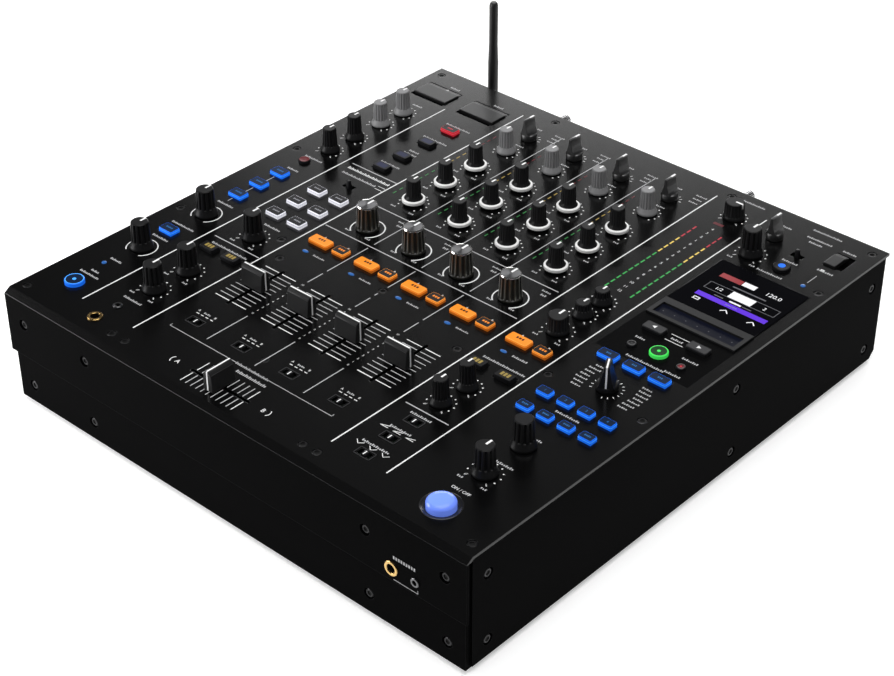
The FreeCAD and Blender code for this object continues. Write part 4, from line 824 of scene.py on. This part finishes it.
# Painted highlight: a lighter, glossier strip where each side's shoulder edge would catch the light.
fader_edge_highlight = finish("fader_edge_highlight", (0.03, 0.03, 0.031), 0.3, 0.5, bump=0.05)
FADER_FINISHES = (fader_black, knob_mark, fader_edge_highlight)
CAP_WIDTH = 19.4
CAP_TOP = 15.6
CAP_SECTION = ((4.4, 1), (4.15, 3.2), (3.2, 13.0), (2.9, 13.9), (1.2, CAP_TOP))
FADER_REST = 107
CROSSFADER_REST = -17.7


def fader_cap(end_sign):
    """A cap along x; the white line goes down the end on the given side."""
    whole = bmesh.new()
    add(whole, rounded(blade(CAP_SECTION, CAP_WIDTH), 0.45, 3), at(0, 0, turn=90))
    add(whole, slab(CAP_WIDTH - 0.5, 1.1, CAP_TOP - 0.3, CAP_TOP + 0.08, 1))
    add(whole, slab(0.2, 1.1, 1.6, CAP_TOP - 0.2, 1), at(CAP_WIDTH / 2 * end_sign, 0))
    # Painted highlight strips along both shoulder edges.
    for side in (-1, 1):
        add(whole, slab(CAP_WIDTH - 1.4, 0.28, 13.15, 13.4, 2), at(0, 3.12 * side))
    add(whole, slab(1.4, 6, -8, 2, 0))
    return whole


for channel, x in enumerate(CHANNEL_X, start=1):
    knob = placed(fader_cap(1), at(x + FADER_SHIFT, FADER_REST))
    name = f"channel_fader_{channel}"
    piece(f"fader_cap_{channel}", knob, name, FADER_FINISHES, (name,))
knob = placed(fader_cap(-1), at(CROSSFADER_REST, CROSS_ROW, 0, 90))
piece("crossfader_cap", knob, "crossfader", FADER_FINISHES, ("crossfader",))


# Lit keys: oblong caps of clear tinted plastic over lamps, with a dark printed top.
# The panel holds them in by a wider foot; cue keys glow orange, effect keys blue, colour keys white.
KEY_RISE = 2.6
KEY_CORNER = 1.5
KEY_PRINT = (KEY_RISE - 0.15, KEY_RISE - 0.06)
LIT_KEY = (13, 9)


def key_cap(whole, x, y, size, finishes):
    """An oblong cap: lower band, thin groove, upper band, light rim and top, each with its finish."""
    lower, groove, upper, rim, top = finishes
    shape = slab(*size, -3, 0.2, lower)
    uprights = [edge for edge in shape.edges if abs(edge.verts[0].co.z - edge.verts[1].co.z) > 1]
    bmesh.ops.bevel(shape, geom=uprights, offset=KEY_CORNER, offset_type="OFFSET", affect="EDGES", segments=4,
                    profile=0.5, material=-1, clamp_overlap=True)
    face = max(shape.faces, key=lambda item: item.calc_center_median().z)
    band = KEY_RISE * 0.42
    steps = ((0.02, band, lower), (0.18, 0.0, groove), (0.02, 0.22, groove), (0.04, band - 0.3, upper),
             (0.25, 0.28, rim), (0.12, 0.0, rim), (0.1, -0.08, top))
    for inward, upward, number in steps:
        made = bmesh.ops.inset_individual(shape, faces=[face], thickness=inward, depth=upward,
                                          use_even_offset=True)
        for ring in made["faces"]:
            ring.material_index = number
    face.material_index = top
    add(whole, shape, at(x, y))


def key_legend(whole, x, y, strokes, number):
    """Short strokes on the top of a key, where its legend stands."""
    for step in range(strokes):
        tall = (1.5, 1.1)[step % 2]
        add(whole, slab(0.75, tall, *KEY_PRINT, number), at(x + 1.25 * (step + 0.5 - strokes / 2), y))


key_dark = finish("key_dark", (0.01, 0.01, 0.0115), 0.3, 0.1)
glow_orange = finish("glow_orange", (0.72, 0.21, 0.018), 0.35, 0.1, glow=0.4)
glow_amber = finish("glow_amber", (0.8, 0.29, 0.045), 0.35, 0.1, glow=0.45)
edge_orange = finish("edge_orange", (0.42, 0.1, 0.008), 0.35, 0.1, glow=0.4)
cue_print = finish("cue_print", (0.06, 0.018, 0.004), 0.4, 0.1)
CUE_FINISHES = (edge_orange, glow_orange, glow_amber, key_dark, cue_print)
FOOT, ORANGE, AMBER, DARK, PRINT = range(5)
CUE_ROW = 174.2
CUE_A_KEY = (17.4, 8.8)
CUE_B_KEY = (11.4, 8.8)
cue_keys = bmesh.new()
for x in CUE_COLUMNS:
    key_cap(cue_keys, x - 10.2, CUE_ROW, CUE_A_KEY, (FOOT, ORANGE, ORANGE, AMBER, ORANGE))
    key_cap(cue_keys, x + 8.9, CUE_ROW, CUE_B_KEY, (FOOT, AMBER, ORANGE, AMBER, DARK))
    for step in range(3):
        add(cue_keys, slab(1.5, 2.0, *KEY_PRINT, PRINT), at(x - 12.1 + 2.2 * step, CUE_ROW + 0.8))
        add(cue_keys, slab(1.3, 1.8, *KEY_PRINT, ORANGE), at(x + 6.9 + 2 * step, CUE_ROW + 0.6))
piece("cue_keys", cue_keys, "push_buttons", CUE_FINISHES, ("push_buttons",))

glow_blue = finish("glow_blue", (0.008, 0.11, 0.62), 0.3, 0.1, glow=0.75)
glow_sky = finish("glow_sky", (0.05, 0.28, 0.82), 0.3, 0.1, glow=0.75)
key_navy = finish("key_navy", (0.004, 0.012, 0.035), 0.3, 0.08, glow=0.2)
key_cyan = finish("key_cyan", (0.02, 0.12, 0.32), 0.35, 0.1, glow=0.3)
BLUE_FINISHES = (glow_blue, glow_sky, key_navy, key_cyan)
LIT_CAP = (0, 1, 0, 0, 2)
LEGEND = 3
EFFECT_ROWS = (180.6, 200.6, 221.1)
REVERB_ROW = 116.3
BAND_X = 158.8
BAND_ROW = 199.6
SELECT_KEY = (10.4, 7.2)
SELECT_PITCH = 16.1
MARKED_ROW = 124.3
NUMBERED_ROW = 143.3
blue_keys = bmesh.new()
for y in (REVERB_ROW, *EFFECT_ROWS):
    key_cap(blue_keys, MIC_KEY_X, y, LIT_KEY, LIT_CAP)
    key_legend(blue_keys, MIC_KEY_X, y + 0.4, 5, LEGEND)
for x in (BAND_X - 20, BAND_X, BAND_X + 20):
    key_cap(blue_keys, x, BAND_ROW, (14, 8), LIT_CAP)
    key_legend(blue_keys, x, BAND_ROW + 0.3, 3, LEGEND)
for step in range(4):
    x = BAND_X + SELECT_PITCH * (step - 1.5)
    key_cap(blue_keys, x, MARKED_ROW, SELECT_KEY, LIT_CAP)
    key_legend(blue_keys, x, MARKED_ROW + 0.3, 4, LEGEND)
    key_cap(blue_keys, x, NUMBERED_ROW, SELECT_KEY, LIT_CAP)
    add(blue_keys, painted(numeral(str(step + 1), 3), LEGEND), at(x, NUMBERED_ROW, KEY_RISE - 0.1))
piece("blue_keys", blue_keys, "push_buttons", BLUE_FINISHES, ("push_buttons",))

glow_white = finish("glow_white", (0.7, 0.7, 0.76), 0.35, 0.1, glow=0.55)
glow_pearl = finish("glow_pearl", (0.4, 0.4, 0.46), 0.35, 0.3, glow=0.25)
legend_white = finish("legend_white", (0.3, 0.3, 0.33), 0.35, 0.3, glow=0.1)
WHITE_FINISHES = (glow_white, glow_pearl, key_dark, legend_white)
COLOUR_KEY_X = -129.6
PAIR_X = (COLOUR_KEY_X - 10.5, COLOUR_KEY_X + 10.5)
white_keys = bmesh.new()
for x in PAIR_X:
    for y in EFFECT_ROWS:
        key_cap(white_keys, x, y, LIT_KEY, LIT_CAP)
        key_legend(white_keys, x, y + 0.4, 5, LEGEND)
piece("white_keys", white_keys, "push_buttons", WHITE_FINISHES, ("push_buttons",))

key_black = finish("key_black", (0.009, 0.009, 0.01), 0.3, 0.1)
key_legend_blue = finish("key_legend_blue", (0.018, 0.022, 0.06), 0.35, 0.08)
key_legend_yellow = finish("key_legend_yellow", (0.3, 0.22, 0.06), 0.35, 0.1, glow=0.15)
key_grey = finish("key_grey", (0.03, 0.03, 0.032), 0.4, 0.12)
DARK_FINISHES = (key_black, key_legend_blue, key_legend_yellow, key_grey, white_print)
BLACK, INDIGO, YELLOW, SLATE, ARROW = range(5)
DARK_KEY = (13.5, 8)
DARK_CAP = (BLACK,) * 5
PHONES_A_ROW = 119
PHONES_B_ROW = 139
PHONES_B_X = 94.8
BEAT_ROW = 242.2
dark_keys = bmesh.new()
for y in (276.2, 297.2, 323.7):
    key_cap(dark_keys, COLOUR_KEY_X, y, DARK_KEY, DARK_CAP)
    add(dark_keys, slab(8.5, 4.6, *KEY_PRINT, INDIGO), at(COLOUR_KEY_X, y))
for x, y in (*[(x, PHONES_A_ROW) for x in PAIR_X], (PHONES_B_X - 11.5, PHONES_B_ROW),
             (PHONES_B_X + 11.5, PHONES_B_ROW)):
    key_cap(dark_keys, x, y, DARK_KEY, DARK_CAP)
    for across in (-2.6, 0, 2.6):
        add(dark_keys, slab(1.8, 3.6, *KEY_PRINT, YELLOW), at(x + across, y + 0.2))
for side in (-1, 1):
    x = EFFECT_X + 17.2 * side
    key_cap(dark_keys, x, BEAT_ROW, (16, 8), (BLACK, BLACK, SLATE, SLATE, SLATE))
    arrow = bmesh.new()
    bmesh.ops.create_cone(arrow, cap_ends=True, segments=3, radius1=1.9, radius2=1.9, depth=0.1)
    add(dark_keys, painted(arrow, ARROW), at(x, BEAT_ROW, KEY_RISE - 0.07, -90 * side))
piece("dark_keys", dark_keys, "push_buttons", DARK_FINISHES, ("push_buttons",))

glow_red = finish("glow_red", (0.5, 0.016, 0.03), 0.3, 0.1, glow=0.5)
glow_rose = finish("glow_rose", (0.55, 0.09, 0.11), 0.3, 0.1, glow=0.5)
RED_ROW = 348.7
red_keys = bmesh.new()
key_cap(red_keys, COLOUR_KEY_X, RED_ROW, DARK_KEY, LIT_CAP)
key_legend(red_keys, COLOUR_KEY_X, RED_ROW + 0.3, 4, 0)
piece("red_key", red_keys, "push_buttons", (glow_red, glow_rose, key_dark), ("push_buttons",))


# Round buttons: turned-look mouldings, each with its own lamp colour.
# The tap button has a bright green collar, the microphone button a blue ring.
def round_cap(radius, rise):
    """Side, rim and slightly dished top of a round button."""
    shoulder = (radius - 0.4, rise - 0.05)
    dish = (radius - 1.0, rise - 0.1)
    return ((0, ((0, -3), (radius, -3), (radius, rise - 0.5), shoulder)),
            (1, (shoulder, (radius - 0.55, rise), (radius - 0.85, rise), dish)),
            (2, (dish, (radius * 0.5, rise - 0.15), (0, rise - 0.2))))


glow_green = finish("glow_green", (0.04, 0.5, 0.07), 0.3, 0.1, glow=0.75)
key_bottle = finish("key_bottle", (0.008, 0.04, 0.012), 0.3, 0.08, glow=0.2)
talk_red = finish("talk_red", (0.12, 0.018, 0.022), 0.35, 0.1)
soft_silver = finish("soft_silver", (0.045, 0.045, 0.047), 0.4, 0.3, metallic=0.3)
ROUND_BUTTONS = (
    ("mic_on_button", MIC_X, 31.6, 6.8, KEY_RISE, (glow_blue, glow_sky, key_navy, glow_sky)),
    ("talk_button", MIC_KEY_X, 245.5, 4.2, 2.0, (key_black, talk_red, talk_red, talk_red)),
    ("insert_button", 160, 357, 6, 2.0, (key_black, key_black, key_black, glow_blue)),
    ("tap_button", 160.5, 222.6, 6.2, KEY_RISE, (glow_green, glow_green, key_bottle, glow_green)),
    ("auto_button", 141.5, 219.5, 3.2, 1.6, (key_black, soft_silver, key_black, key_grey)),
    ("quantize_button", 180, 219.5, 3.2, 1.6, (key_black, soft_silver, talk_red, glow_red)),
)
for name, x, y, radius, rise, finishes in ROUND_BUTTONS:
    button = placed(turned(round_cap(radius, rise), 40), at(x, y))
    mark = radius * (0.42 if name == "insert_button" else 0.2)
    add(button, turned(((3, ((mark, rise - 0.3), (mark, rise - 0.1), (0, rise - 0.05))),), 20), at(x, y))
    piece(name, button, "push_buttons", finishes, ("push_buttons",))


# Effect button: a large domed lens of pale blue plastic over a lamp.
# It stands in a dark sunk bezel in the front right of the panel.
glow_dome = finish("glow_dome", (0.13, 0.22, 0.78), 0.18, 0.3, glow=0.45)
glow_crown = finish("glow_crown", (0.15, 0.25, 0.86), 0.16, 0.2, glow=0.45)
bezel_black = finish("bezel_black", (0.012, 0.012, 0.013), 0.25, 0.3)
DOME = ((0, ((0, -3), (9.1, -3), (9.1, 2.4), (8.9, 2.95), (8.3, 3.8), (7.4, 4.5))),
        (1, ((7.4, 4.5), (6.0, 4.95), (4.0, 5.15), (0, 5.2))))
BEZEL = ((0, ((9.6, -0.9), (10.0, -0.55), (10.7, -0.45), (11.6, -0.2), (12.0, 0.15), (12.5, 0.25),
              (12.9, 0.04), (12.9, -0.3))),)
ON_PLACE = at(160.5, 21.6)
dome = placed(turned(DOME, 56), ON_PLACE)
piece("effect_on_lens", dome, "effect_on_button", (glow_dome, glow_crown), ("effect_on_button",))
bezel = placed(turned(BEZEL, 56), ON_PLACE)
piece("effect_on_bezel", bezel, "case", (bezel_black,))


# Slide switches and toggles: small black sliders with a white line, in dark oblong wells.
# Each well is a moulded frame pressed into the panel; the two toggles stand taller.
SLIDER_RISE = 0.6
TOGGLE_RISE = 5.0
SWITCHES = (*[(x - 2.5, 53.5) for x in CHANNEL_X], (SWITCH_X, 27), (SWITCH_X, 48), (SWITCH_X, 69))
TOGGLES = ((COLOUR_X, 241), (EFFECT_X, 376))
FRAME_RISE = 0.15
sliders = bmesh.new()
frames = bmesh.new()
for x, y in SWITCHES:
    add(sliders, rounded(slab(3.4, 4, -2.6, SLIDER_RISE), 0.25), at(x, y))
    add(sliders, slab(0.75, 3.6, SLIDER_RISE - 0.1, SLIDER_RISE + 0.05, 1), at(x, y))
    for side in (-1, 1):
        add(frames, slab(0.5, 7.6, 0, FRAME_RISE), at(x + 6.2 * side, y))
        add(frames, slab(12.9, 0.5, 0, FRAME_RISE), at(x, y + 3.55 * side))
for x, y in TOGGLES:
    grip = slab(3.4, 4, -2.6, TOGGLE_RISE)
    crown = max(grip.faces, key=lambda item: item.calc_center_median().z)
    bmesh.ops.scale(grip, vec=(0.7, 0.6, 1), verts=crown.verts)
    add(sliders, rounded(grip, 0.25), at(x, y))
piece("switch_sliders", sliders, "slide_switches", (key_black, knob_mark), ("slide_switches",))
piece("switch_frames", frames, "case", (key_grey,))


# USB flaps and pockets: hinged covers of dark plastic over moulded cups with a socket on the floor.
# Each flap swings up on a pin along its rear edge.
flap_plastic = finish("flap_plastic", (0.012, 0.012, 0.0125), 0.3, 0.24, grain=3000, bump=0.1, edge=0.0009)
socket_plastic = finish("socket_plastic", (0.006, 0.006, 0.0065), 0.5, 0.3)
dress("usb_flaps", flap_plastic)
dress("panel_sockets", socket_plastic)


# Phones sockets: gilt nuts round the plug holes, two in the top and two in the front.
# The small ones have a dark steel nut.
gilt = finish("gilt", (0.7, 0.46, 0.17), 0.26, 0.5, metallic=1.0, bump=0.0)
nut_steel = finish("nut_steel", (0.16, 0.16, 0.165), 0.28, 0.5, metallic=1.0, bump=0.03)
GILT_NUT = (
    (0, ((5.1, -0.1), (5.1, 0.6), (4.8, 0.88), (3.9, 0.88), (3.4, 0.84), (3.12, 0.6), (3.12, -0.4))),
    (2, ((3.12, -0.4), (3.12, -9), (0, -9))),
)
SMALL_NUT = (
    (1, ((3.1, -0.1), (3.1, 0.6), (2.8, 0.88), (2.1, 0.88), (1.85, 0.84), (1.75, 0.6), (1.75, -0.4))),
    (2, ((1.75, -0.4), (1.75, -6), (0, -6))),
)
FRONT_FACE = -5
FRONT_SOCKET_DROP = 38


def front(x, drop):
    """The place of a fitting whose axis points out of the front."""
    return at(x, FRONT_FACE, -drop, 90, "X")


nuts = bmesh.new()
add(nuts, turned(GILT_NUT, 40), at(-133.5, 14))
add(nuts, turned(SMALL_NUT, 32), at(-132.5, 32))
add(nuts, turned(GILT_NUT, 40), front(146, FRONT_SOCKET_DROP))
add(nuts, turned(SMALL_NUT, 32), front(164.5, FRONT_SOCKET_DROP))
piece("phones_nuts", nuts, "case", (gilt, nut_steel, bore_black_and_recess_shade))
front_print = bmesh.new()
for step in range(9):
    add(front_print, slab(1.2, 2.2, 0, PRINT_THICK), front(148 + 2 * step, 29))
add(front_print, slab(19, 0.45, 0, PRINT_THICK), front(157, 45.5))
add(front_print, slab(0.45, 2.5, 0, PRINT_THICK), front(166.5, 44.5))
piece("front_print", front_print, "case", (grey_print,))


# Display: a sheet of black glass with lit fields behind it, and a framed touch strip in front.
# The glass is bonded to the panel; figures, bars and arrows stand for its readings.
screen_glass = finish("screen_glass", (0.003, 0.003, 0.004), 0.08, 0.08, bump=0.0)
strip_frame = finish("strip_frame", (0.016, 0.016, 0.017), 0.42, 0.1)
strip_floor = finish("strip_floor", (0.005, 0.006, 0.013), 0.3, 0.06)
screen_white = finish("screen_white", (0.7, 0.7, 0.72), 0.4, 0.1, glow=0.3, bump=0)
screen_red = finish("screen_red", (0.24, 0.03, 0.035), 0.4, 0.1, glow=0.3, bump=0)
screen_violet = finish("screen_violet", (0.07, 0.012, 0.45), 0.4, 0.1, glow=0.6, bump=0)
screen_grey = finish("screen_grey", (0.1, 0.1, 0.11), 0.4, 0.1, glow=0.15, bump=0)
DISPLAY_FINISHES = (screen_glass, strip_frame, strip_floor, screen_white, screen_red, screen_violet,
                    screen_grey)
GLASS, FRAME, FLOOR, LIT_WHITE, LIT_RED, LIT_VIOLET, LIT_GREY = range(7)
DISPLAY_WIDTH = 69.4
DISPLAY_SINK = -2
GLASS_RISE = 0.6
FRAME_TOP = 1.2
STRIP_FLOOR = -0.4
STRIP_Y = 264.65
STRIP_DEPTH = 12.3
STRIP_SIDE = 3
display = bmesh.new()
add(display, rounded(slab(DISPLAY_WIDTH, 62, DISPLAY_SINK, GLASS_RISE, GLASS), 0.3), at(EFFECT_X, 308))
add(display, slab(DISPLAY_WIDTH, 6.2, DISPLAY_SINK, FRAME_TOP, FRAME), at(EFFECT_X, 273.9))
add(display, slab(DISPLAY_WIDTH, STRIP_SIDE, DISPLAY_SINK, FRAME_TOP, FRAME), at(EFFECT_X, 257))
for side in (-1, 1):
    edge_x = EFFECT_X + (DISPLAY_WIDTH - STRIP_SIDE) / 2 * side
    add(display, slab(STRIP_SIDE, STRIP_DEPTH, DISPLAY_SINK, FRAME_TOP, FRAME), at(edge_x, STRIP_Y))
strip_width = DISPLAY_WIDTH - 2 * STRIP_SIDE
add(display, slab(strip_width, STRIP_DEPTH, DISPLAY_SINK, STRIP_FLOOR, FLOOR), at(EFFECT_X, STRIP_Y))
for step in range(7):
    add(display, slab(0.7, 0.7, STRIP_FLOOR, STRIP_FLOOR + 0.06, LIT_GREY), at(EFFECT_X - 27 + 9 * step, 264))
FIELD = (GLASS_RISE, GLASS_RISE + 0.04)
FIELD_X = 163
BOX_Y = 307.6
LIT_FIELDS = (
    (144, 323, 17, 5.2, LIT_RED), (158, 323.4, 10, 5, LIT_WHITE), (FIELD_X, BOX_Y, 18, 8, LIT_WHITE),
    (FIELD_X, 295.5, 55, 4.8, LIT_VIOLET), (FIELD_X, 316, 26, 1.2, LIT_GREY), (150, 300, 7, 0.9, LIT_GREY),
    (FIELD_X, 300, 9, 1.6, LIT_WHITE), (172, 300, 7, 0.9, LIT_GREY), (FIELD_X, 295.5, 9, 1.3, LIT_WHITE),
    (140, 288, 5, 0.8, LIT_WHITE), (140, 290.5, 5, 0.8, LIT_WHITE), (138, 289.2, 0.8, 3.4, LIT_WHITE),
    (142, 289.2, 0.8, 3.4, LIT_WHITE), (FIELD_X, 311.8, 55, 0.5, LIT_GREY),
    (FIELD_X, 303.4, 55, 0.5, LIT_GREY), (135.6, BOX_Y, 0.5, 8.6, LIT_GREY),
    (190.4, BOX_Y, 0.5, 8.6, LIT_GREY),
)
for x, y, length, width, shade in LIT_FIELDS:
    add(display, slab(length, width, *FIELD, shade), at(x, y))
for text, x, y, size in (("120.0", 177, 323.2, 5.6), ("1/2", 145, 307.4, 4.6), ("2", 181, 307.4, 4.6)):
    add(display, painted(numeral(text, size), LIT_WHITE), at(x, y, FIELD[1]))
for x in (FIELD_X, 184):
    for side in (-1, 1):
        add(display, slab(4.2, 0.8, *FIELD, LIT_WHITE), at(x + 1.45 * side, 288.6, 0, -45 * side))
piece("display_face", display, "case", DISPLAY_FINISHES, ("display_unit",))


# Rear sockets: pressed phono barrels, jack nuts, three-pin outlets, network and mains sockets.
# Each is fixed through the rear panel; the earth posts are knurled steel.
phono_white = finish("phono_white", (0.7, 0.7, 0.68), 0.4, 0.4)
phono_red = finish("phono_red", (0.5, 0.03, 0.03), 0.4, 0.4)
rear_steel = finish("rear_steel", (0.55, 0.55, 0.56), 0.25, 0.5, metallic=1.0, bump=0.03)
REAR_FACE = 417.5
STEEL = 2
UPPER_ROW, MIDDLE_ROW, LOWER_ROW = 24, 42, 62
PHONO_PITCH = 15
PHONO_STEPS = 28
JACK_NUT = ((STEEL, ((6.6, 0), (6.6, 1.6), (6.3, 1.9), (5.05, 1.9), (5.05, 3.0), (4.6, 3.1), (3.4, 3.1),
                     (3.15, 2.8), (3.15, -2))),)
PIN = ((STEEL, ((1.25, -13), (1.25, -1.2), (0.9, -0.8), (0, -0.8))),)
OUTLET_SCREW = ((STEEL, ((2.2, 1.9), (2.2, 2.4), (1.8, 2.7), (0, 2.7))),)
POST = ((STEEL, ((2.25, 0), (2.25, 3.9), (4.1, 3.9), (4.2, 4.1), (4.35, 4.4), (4.35, 11.1), (4.1, 11.55),
                 (2.25, 11.6), (2.25, 12.8), (0, 13))),)
PIN_PLACES = ((-4.2, 0), (4.2, 0), (0, 4.2))
OUTLET_SCREWS = ((-10.4, 10.4), (10.4, -10.4))


def rear(x, drop, y=REAR_FACE):
    """The place of a fitting whose axis points out of the rear."""
    return at(x, y, -drop, -90, "X")


def phono(shade):
    """A steel barrel on a coloured flange, with a core of the same colour."""
    return ((shade, ((5.65, 0), (5.65, 1.4), (5.3, 1.55), (4.2, 1.55))),
            (STEEL, ((4.2, 1.55), (4.2, 9.2), (3.9, 9.55), (3.2, 9.55), (3.0, 9.3))),
            (shade, ((3.0, 9.3), (1.7, 9.3), (1.62, 9.0), (1.62, 5))))


dress("rear_sockets", socket_plastic)
rear_fittings = bmesh.new()
for column in range(8):
    for drop in (UPPER_ROW, MIDDLE_ROW, LOWER_ROW):
        add(rear_fittings, turned(phono(column % 2), PHONO_STEPS), rear(-76.5 + PHONO_PITCH * column, drop))
for column in range(2):
    for drop in (MIDDLE_ROW, LOWER_ROW):
        add(rear_fittings, turned(phono(column), PHONO_STEPS), rear(62 + PHONO_PITCH * column, drop))
for x in (-150, -128, -106):
    for drop in (MIDDLE_ROW, LOWER_ROW):
        add(rear_fittings, turned(JACK_NUT, 36), rear(x, drop))
for x in (100, 129):
    for across, up in PIN_PLACES:
        add(rear_fittings, turned(PIN, 16), rear(x + across, MIDDLE_ROW - up))
    for across, up in OUTLET_SCREWS:
        add(rear_fittings, turned(OUTLET_SCREW, 16), rear(x + across, MIDDLE_ROW - up))
for x in (-84, 84):
    post = fluted(turned(POST, 72), count=24, depth=0.3, low=4.3, high=11.2)
    add(rear_fittings, post, rear(x, 5.5))
piece("rear_fittings", rear_fittings, "case", (phono_white, phono_red, rear_steel))


# Antenna: a tapered rod of black plastic on a round knuckle.
# The knuckle is screwed on to the socket at the rear and turns about its axis.
antenna_plastic = finish("antenna_plastic", (0.012, 0.012, 0.0125), 0.42, 0.35, grain=3600, bump=0.12)
ANTENNA_X = -173
ANTENNA_ROD = ((0, ((0, -30), (3.9, -30), (4.0, -29.6), (4.0, 6.6), (3.9, 7.4), (3.45, 20.5), (3.4, 21.2),
                    (3.4, 53.6), (3.3, 54.4), (2.9, 55.8), (2.2, 56.75), (0, 56.8))),)
KNUCKLE = ((0, ((0, 0), (4.6, 0), (5.0, 0.4), (5.0, 9.4), (4.7, 9.8), (4.7, 10.6), (5.0, 11), (5.0, 22.3),
                (4.5, 22.8), (0, 22.8))),)
antenna = bmesh.new()
add(antenna, turned(ANTENNA_ROD, 36), at(ANTENNA_X, 446.5))
add(antenna, turned(KNUCKLE, 40), rear(ANTENNA_X, 30, 431))
piece("antenna_whip", antenna, "antenna", (antenna_plastic,), ("antenna",))


# Feet, boards and supply: black rubber feet under the tray, dark green circuit boards and a steel-cased
# supply. The feet are bonded on; the boards stand on spacers inside the case.
foot_rubber = finish("foot_rubber", (0.01, 0.01, 0.01), 0.75, 0.2, grain=1800, bump=0.4)
board_green = finish("board_green", (0.003, 0.012, 0.006), 0.45, 0.2)
supply_steel = finish("supply_steel", (0.4, 0.41, 0.42), 0.4, 0.5, metallic=1.0)
dress("rubber_feet", foot_rubber)
dress("control_board", board_green)
dress("main_board", board_green)
dress("power_supply", supply_steel)


# Studio: a plain pale floor, one broad soft light overhead, a card at the rear left for the panel's gloss
# and a small low light at the front left. The floor adds a little light of its own to what the lens and
# reflections see, and keeps the shadow.
FLOOR_SIZE = 40
PAPER = (0.8, 0.8, 0.8, 1)
PURE_WHITE = (1, 1, 1, 1)
FLOOR_LIFT = 0.45
SKY_STRENGTH = 0.05
bpy.ops.mesh.primitive_plane_add(size=FLOOR_SIZE, location=(0, 0, 0))
floor = bpy.context.object
floor.name = "studio_floor"
floor_paper = bpy.data.materials.new("floor_paper")
floor_paper.use_nodes = True
nodes = floor_paper.node_tree.nodes
wire = floor_paper.node_tree.links.new
nodes.remove(nodes["Principled BSDF"])
paper = nodes.new("ShaderNodeBsdfDiffuse")
paper.inputs["Color"].default_value = PAPER
lift = nodes.new("ShaderNodeEmission")
lift.inputs["Color"].default_value = PURE_WHITE
rays = nodes.new("ShaderNodeLightPath")
seen = nodes.new("ShaderNodeMath")
seen.operation = "MAXIMUM"
shown = nodes.new("ShaderNodeMath")
shown.operation = "MAXIMUM"
level = nodes.new("ShaderNodeMath")
level.operation = "MULTIPLY"
level.inputs[1].default_value = FLOOR_LIFT
both = nodes.new("ShaderNodeAddShader")
wire(rays.outputs["Is Camera Ray"], seen.inputs[0])
wire(rays.outputs["Is Glossy Ray"], seen.inputs[1])
wire(seen.outputs[0], shown.inputs[0])
wire(rays.outputs["Is Transmission Ray"], shown.inputs[1])
wire(shown.outputs[0], level.inputs[0])
wire(level.outputs[0], lift.inputs["Strength"])
wire(paper.outputs["BSDF"], both.inputs[0])
wire(lift.outputs["Emission"], both.inputs[1])
wire(both.outputs["Shader"], nodes["Material Output"].inputs["Surface"])
floor.data.materials.append(floor_paper)


def soft_light(name, place, aim, width, height, watts):
    lamp = bpy.data.lights.new(name, "AREA")
    lamp.shape = "RECTANGLE"
    lamp.size = width
    lamp.size_y = height
    lamp.energy = watts
    holder = bpy.data.objects.new(name, lamp)
    holder.location = place
    holder.rotation_euler = (Vector(aim) - Vector(place)).to_track_quat("-Z", "Y").to_euler()
    bpy.context.collection.objects.link(holder)


soft_light("overhead_softbox", (0.35, -0.15, 2.2), (0, 0, 0.05), width=2.2, height=2.2, watts=60)
soft_light("rear_card", (-2.72, 4.19, 1.38), (0, 0, 1.38), width=3.2, height=2.2, watts=100)
soft_light("left_softbox", (-0.85, -0.75, 0.3), (-0.1, -0.1, 0.05), width=0.6, height=0.6, watts=10)
world = bpy.context.scene.world or bpy.data.worlds.new("studio")
bpy.context.scene.world = world
world.use_nodes = True
sky = world.node_tree.nodes["Background"]
sky.inputs["Color"].default_value = PURE_WHITE
sky.inputs["Strength"].default_value = SKY_STRENGTH


# Camera: a long lens from the front right, above the panel, as in the photograph.
# Its heading, tilt and roll are in degrees, and its place is in metres.
LENS_LENGTH = 82.69
SENSOR_WIDTH = 36
CAMERA_PLACE = (0.77175, -0.86661, 0.8207)
azimuth = radians(42.40)
elevation = radians(34.39)
roll = radians(-0.20)
camera_data = bpy.data.cameras.new("camera")
camera_data.sensor_width = SENSOR_WIDTH
camera_data.sensor_fit = "HORIZONTAL"
camera_data.lens = LENS_LENGTH
camera = bpy.data.objects.new("camera", camera_data)
back = Vector((sin(azimuth) * cos(elevation), -cos(azimuth) * cos(elevation), sin(elevation)))
right = Vector((cos(azimuth), sin(azimuth), 0))
up = back.cross(right)
across = cos(roll) * right + sin(roll) * up
upward = -sin(roll) * right + cos(roll) * up
facing = Matrix((across, upward, back)).transposed().to_4x4()
camera.matrix_world = Matrix.Translation(CAMERA_PLACE) @ facing
bpy.context.collection.objects.link(camera)
bpy.context.scene.camera = camera
bpy.context.scene.view_settings.view_transform = "Standard"
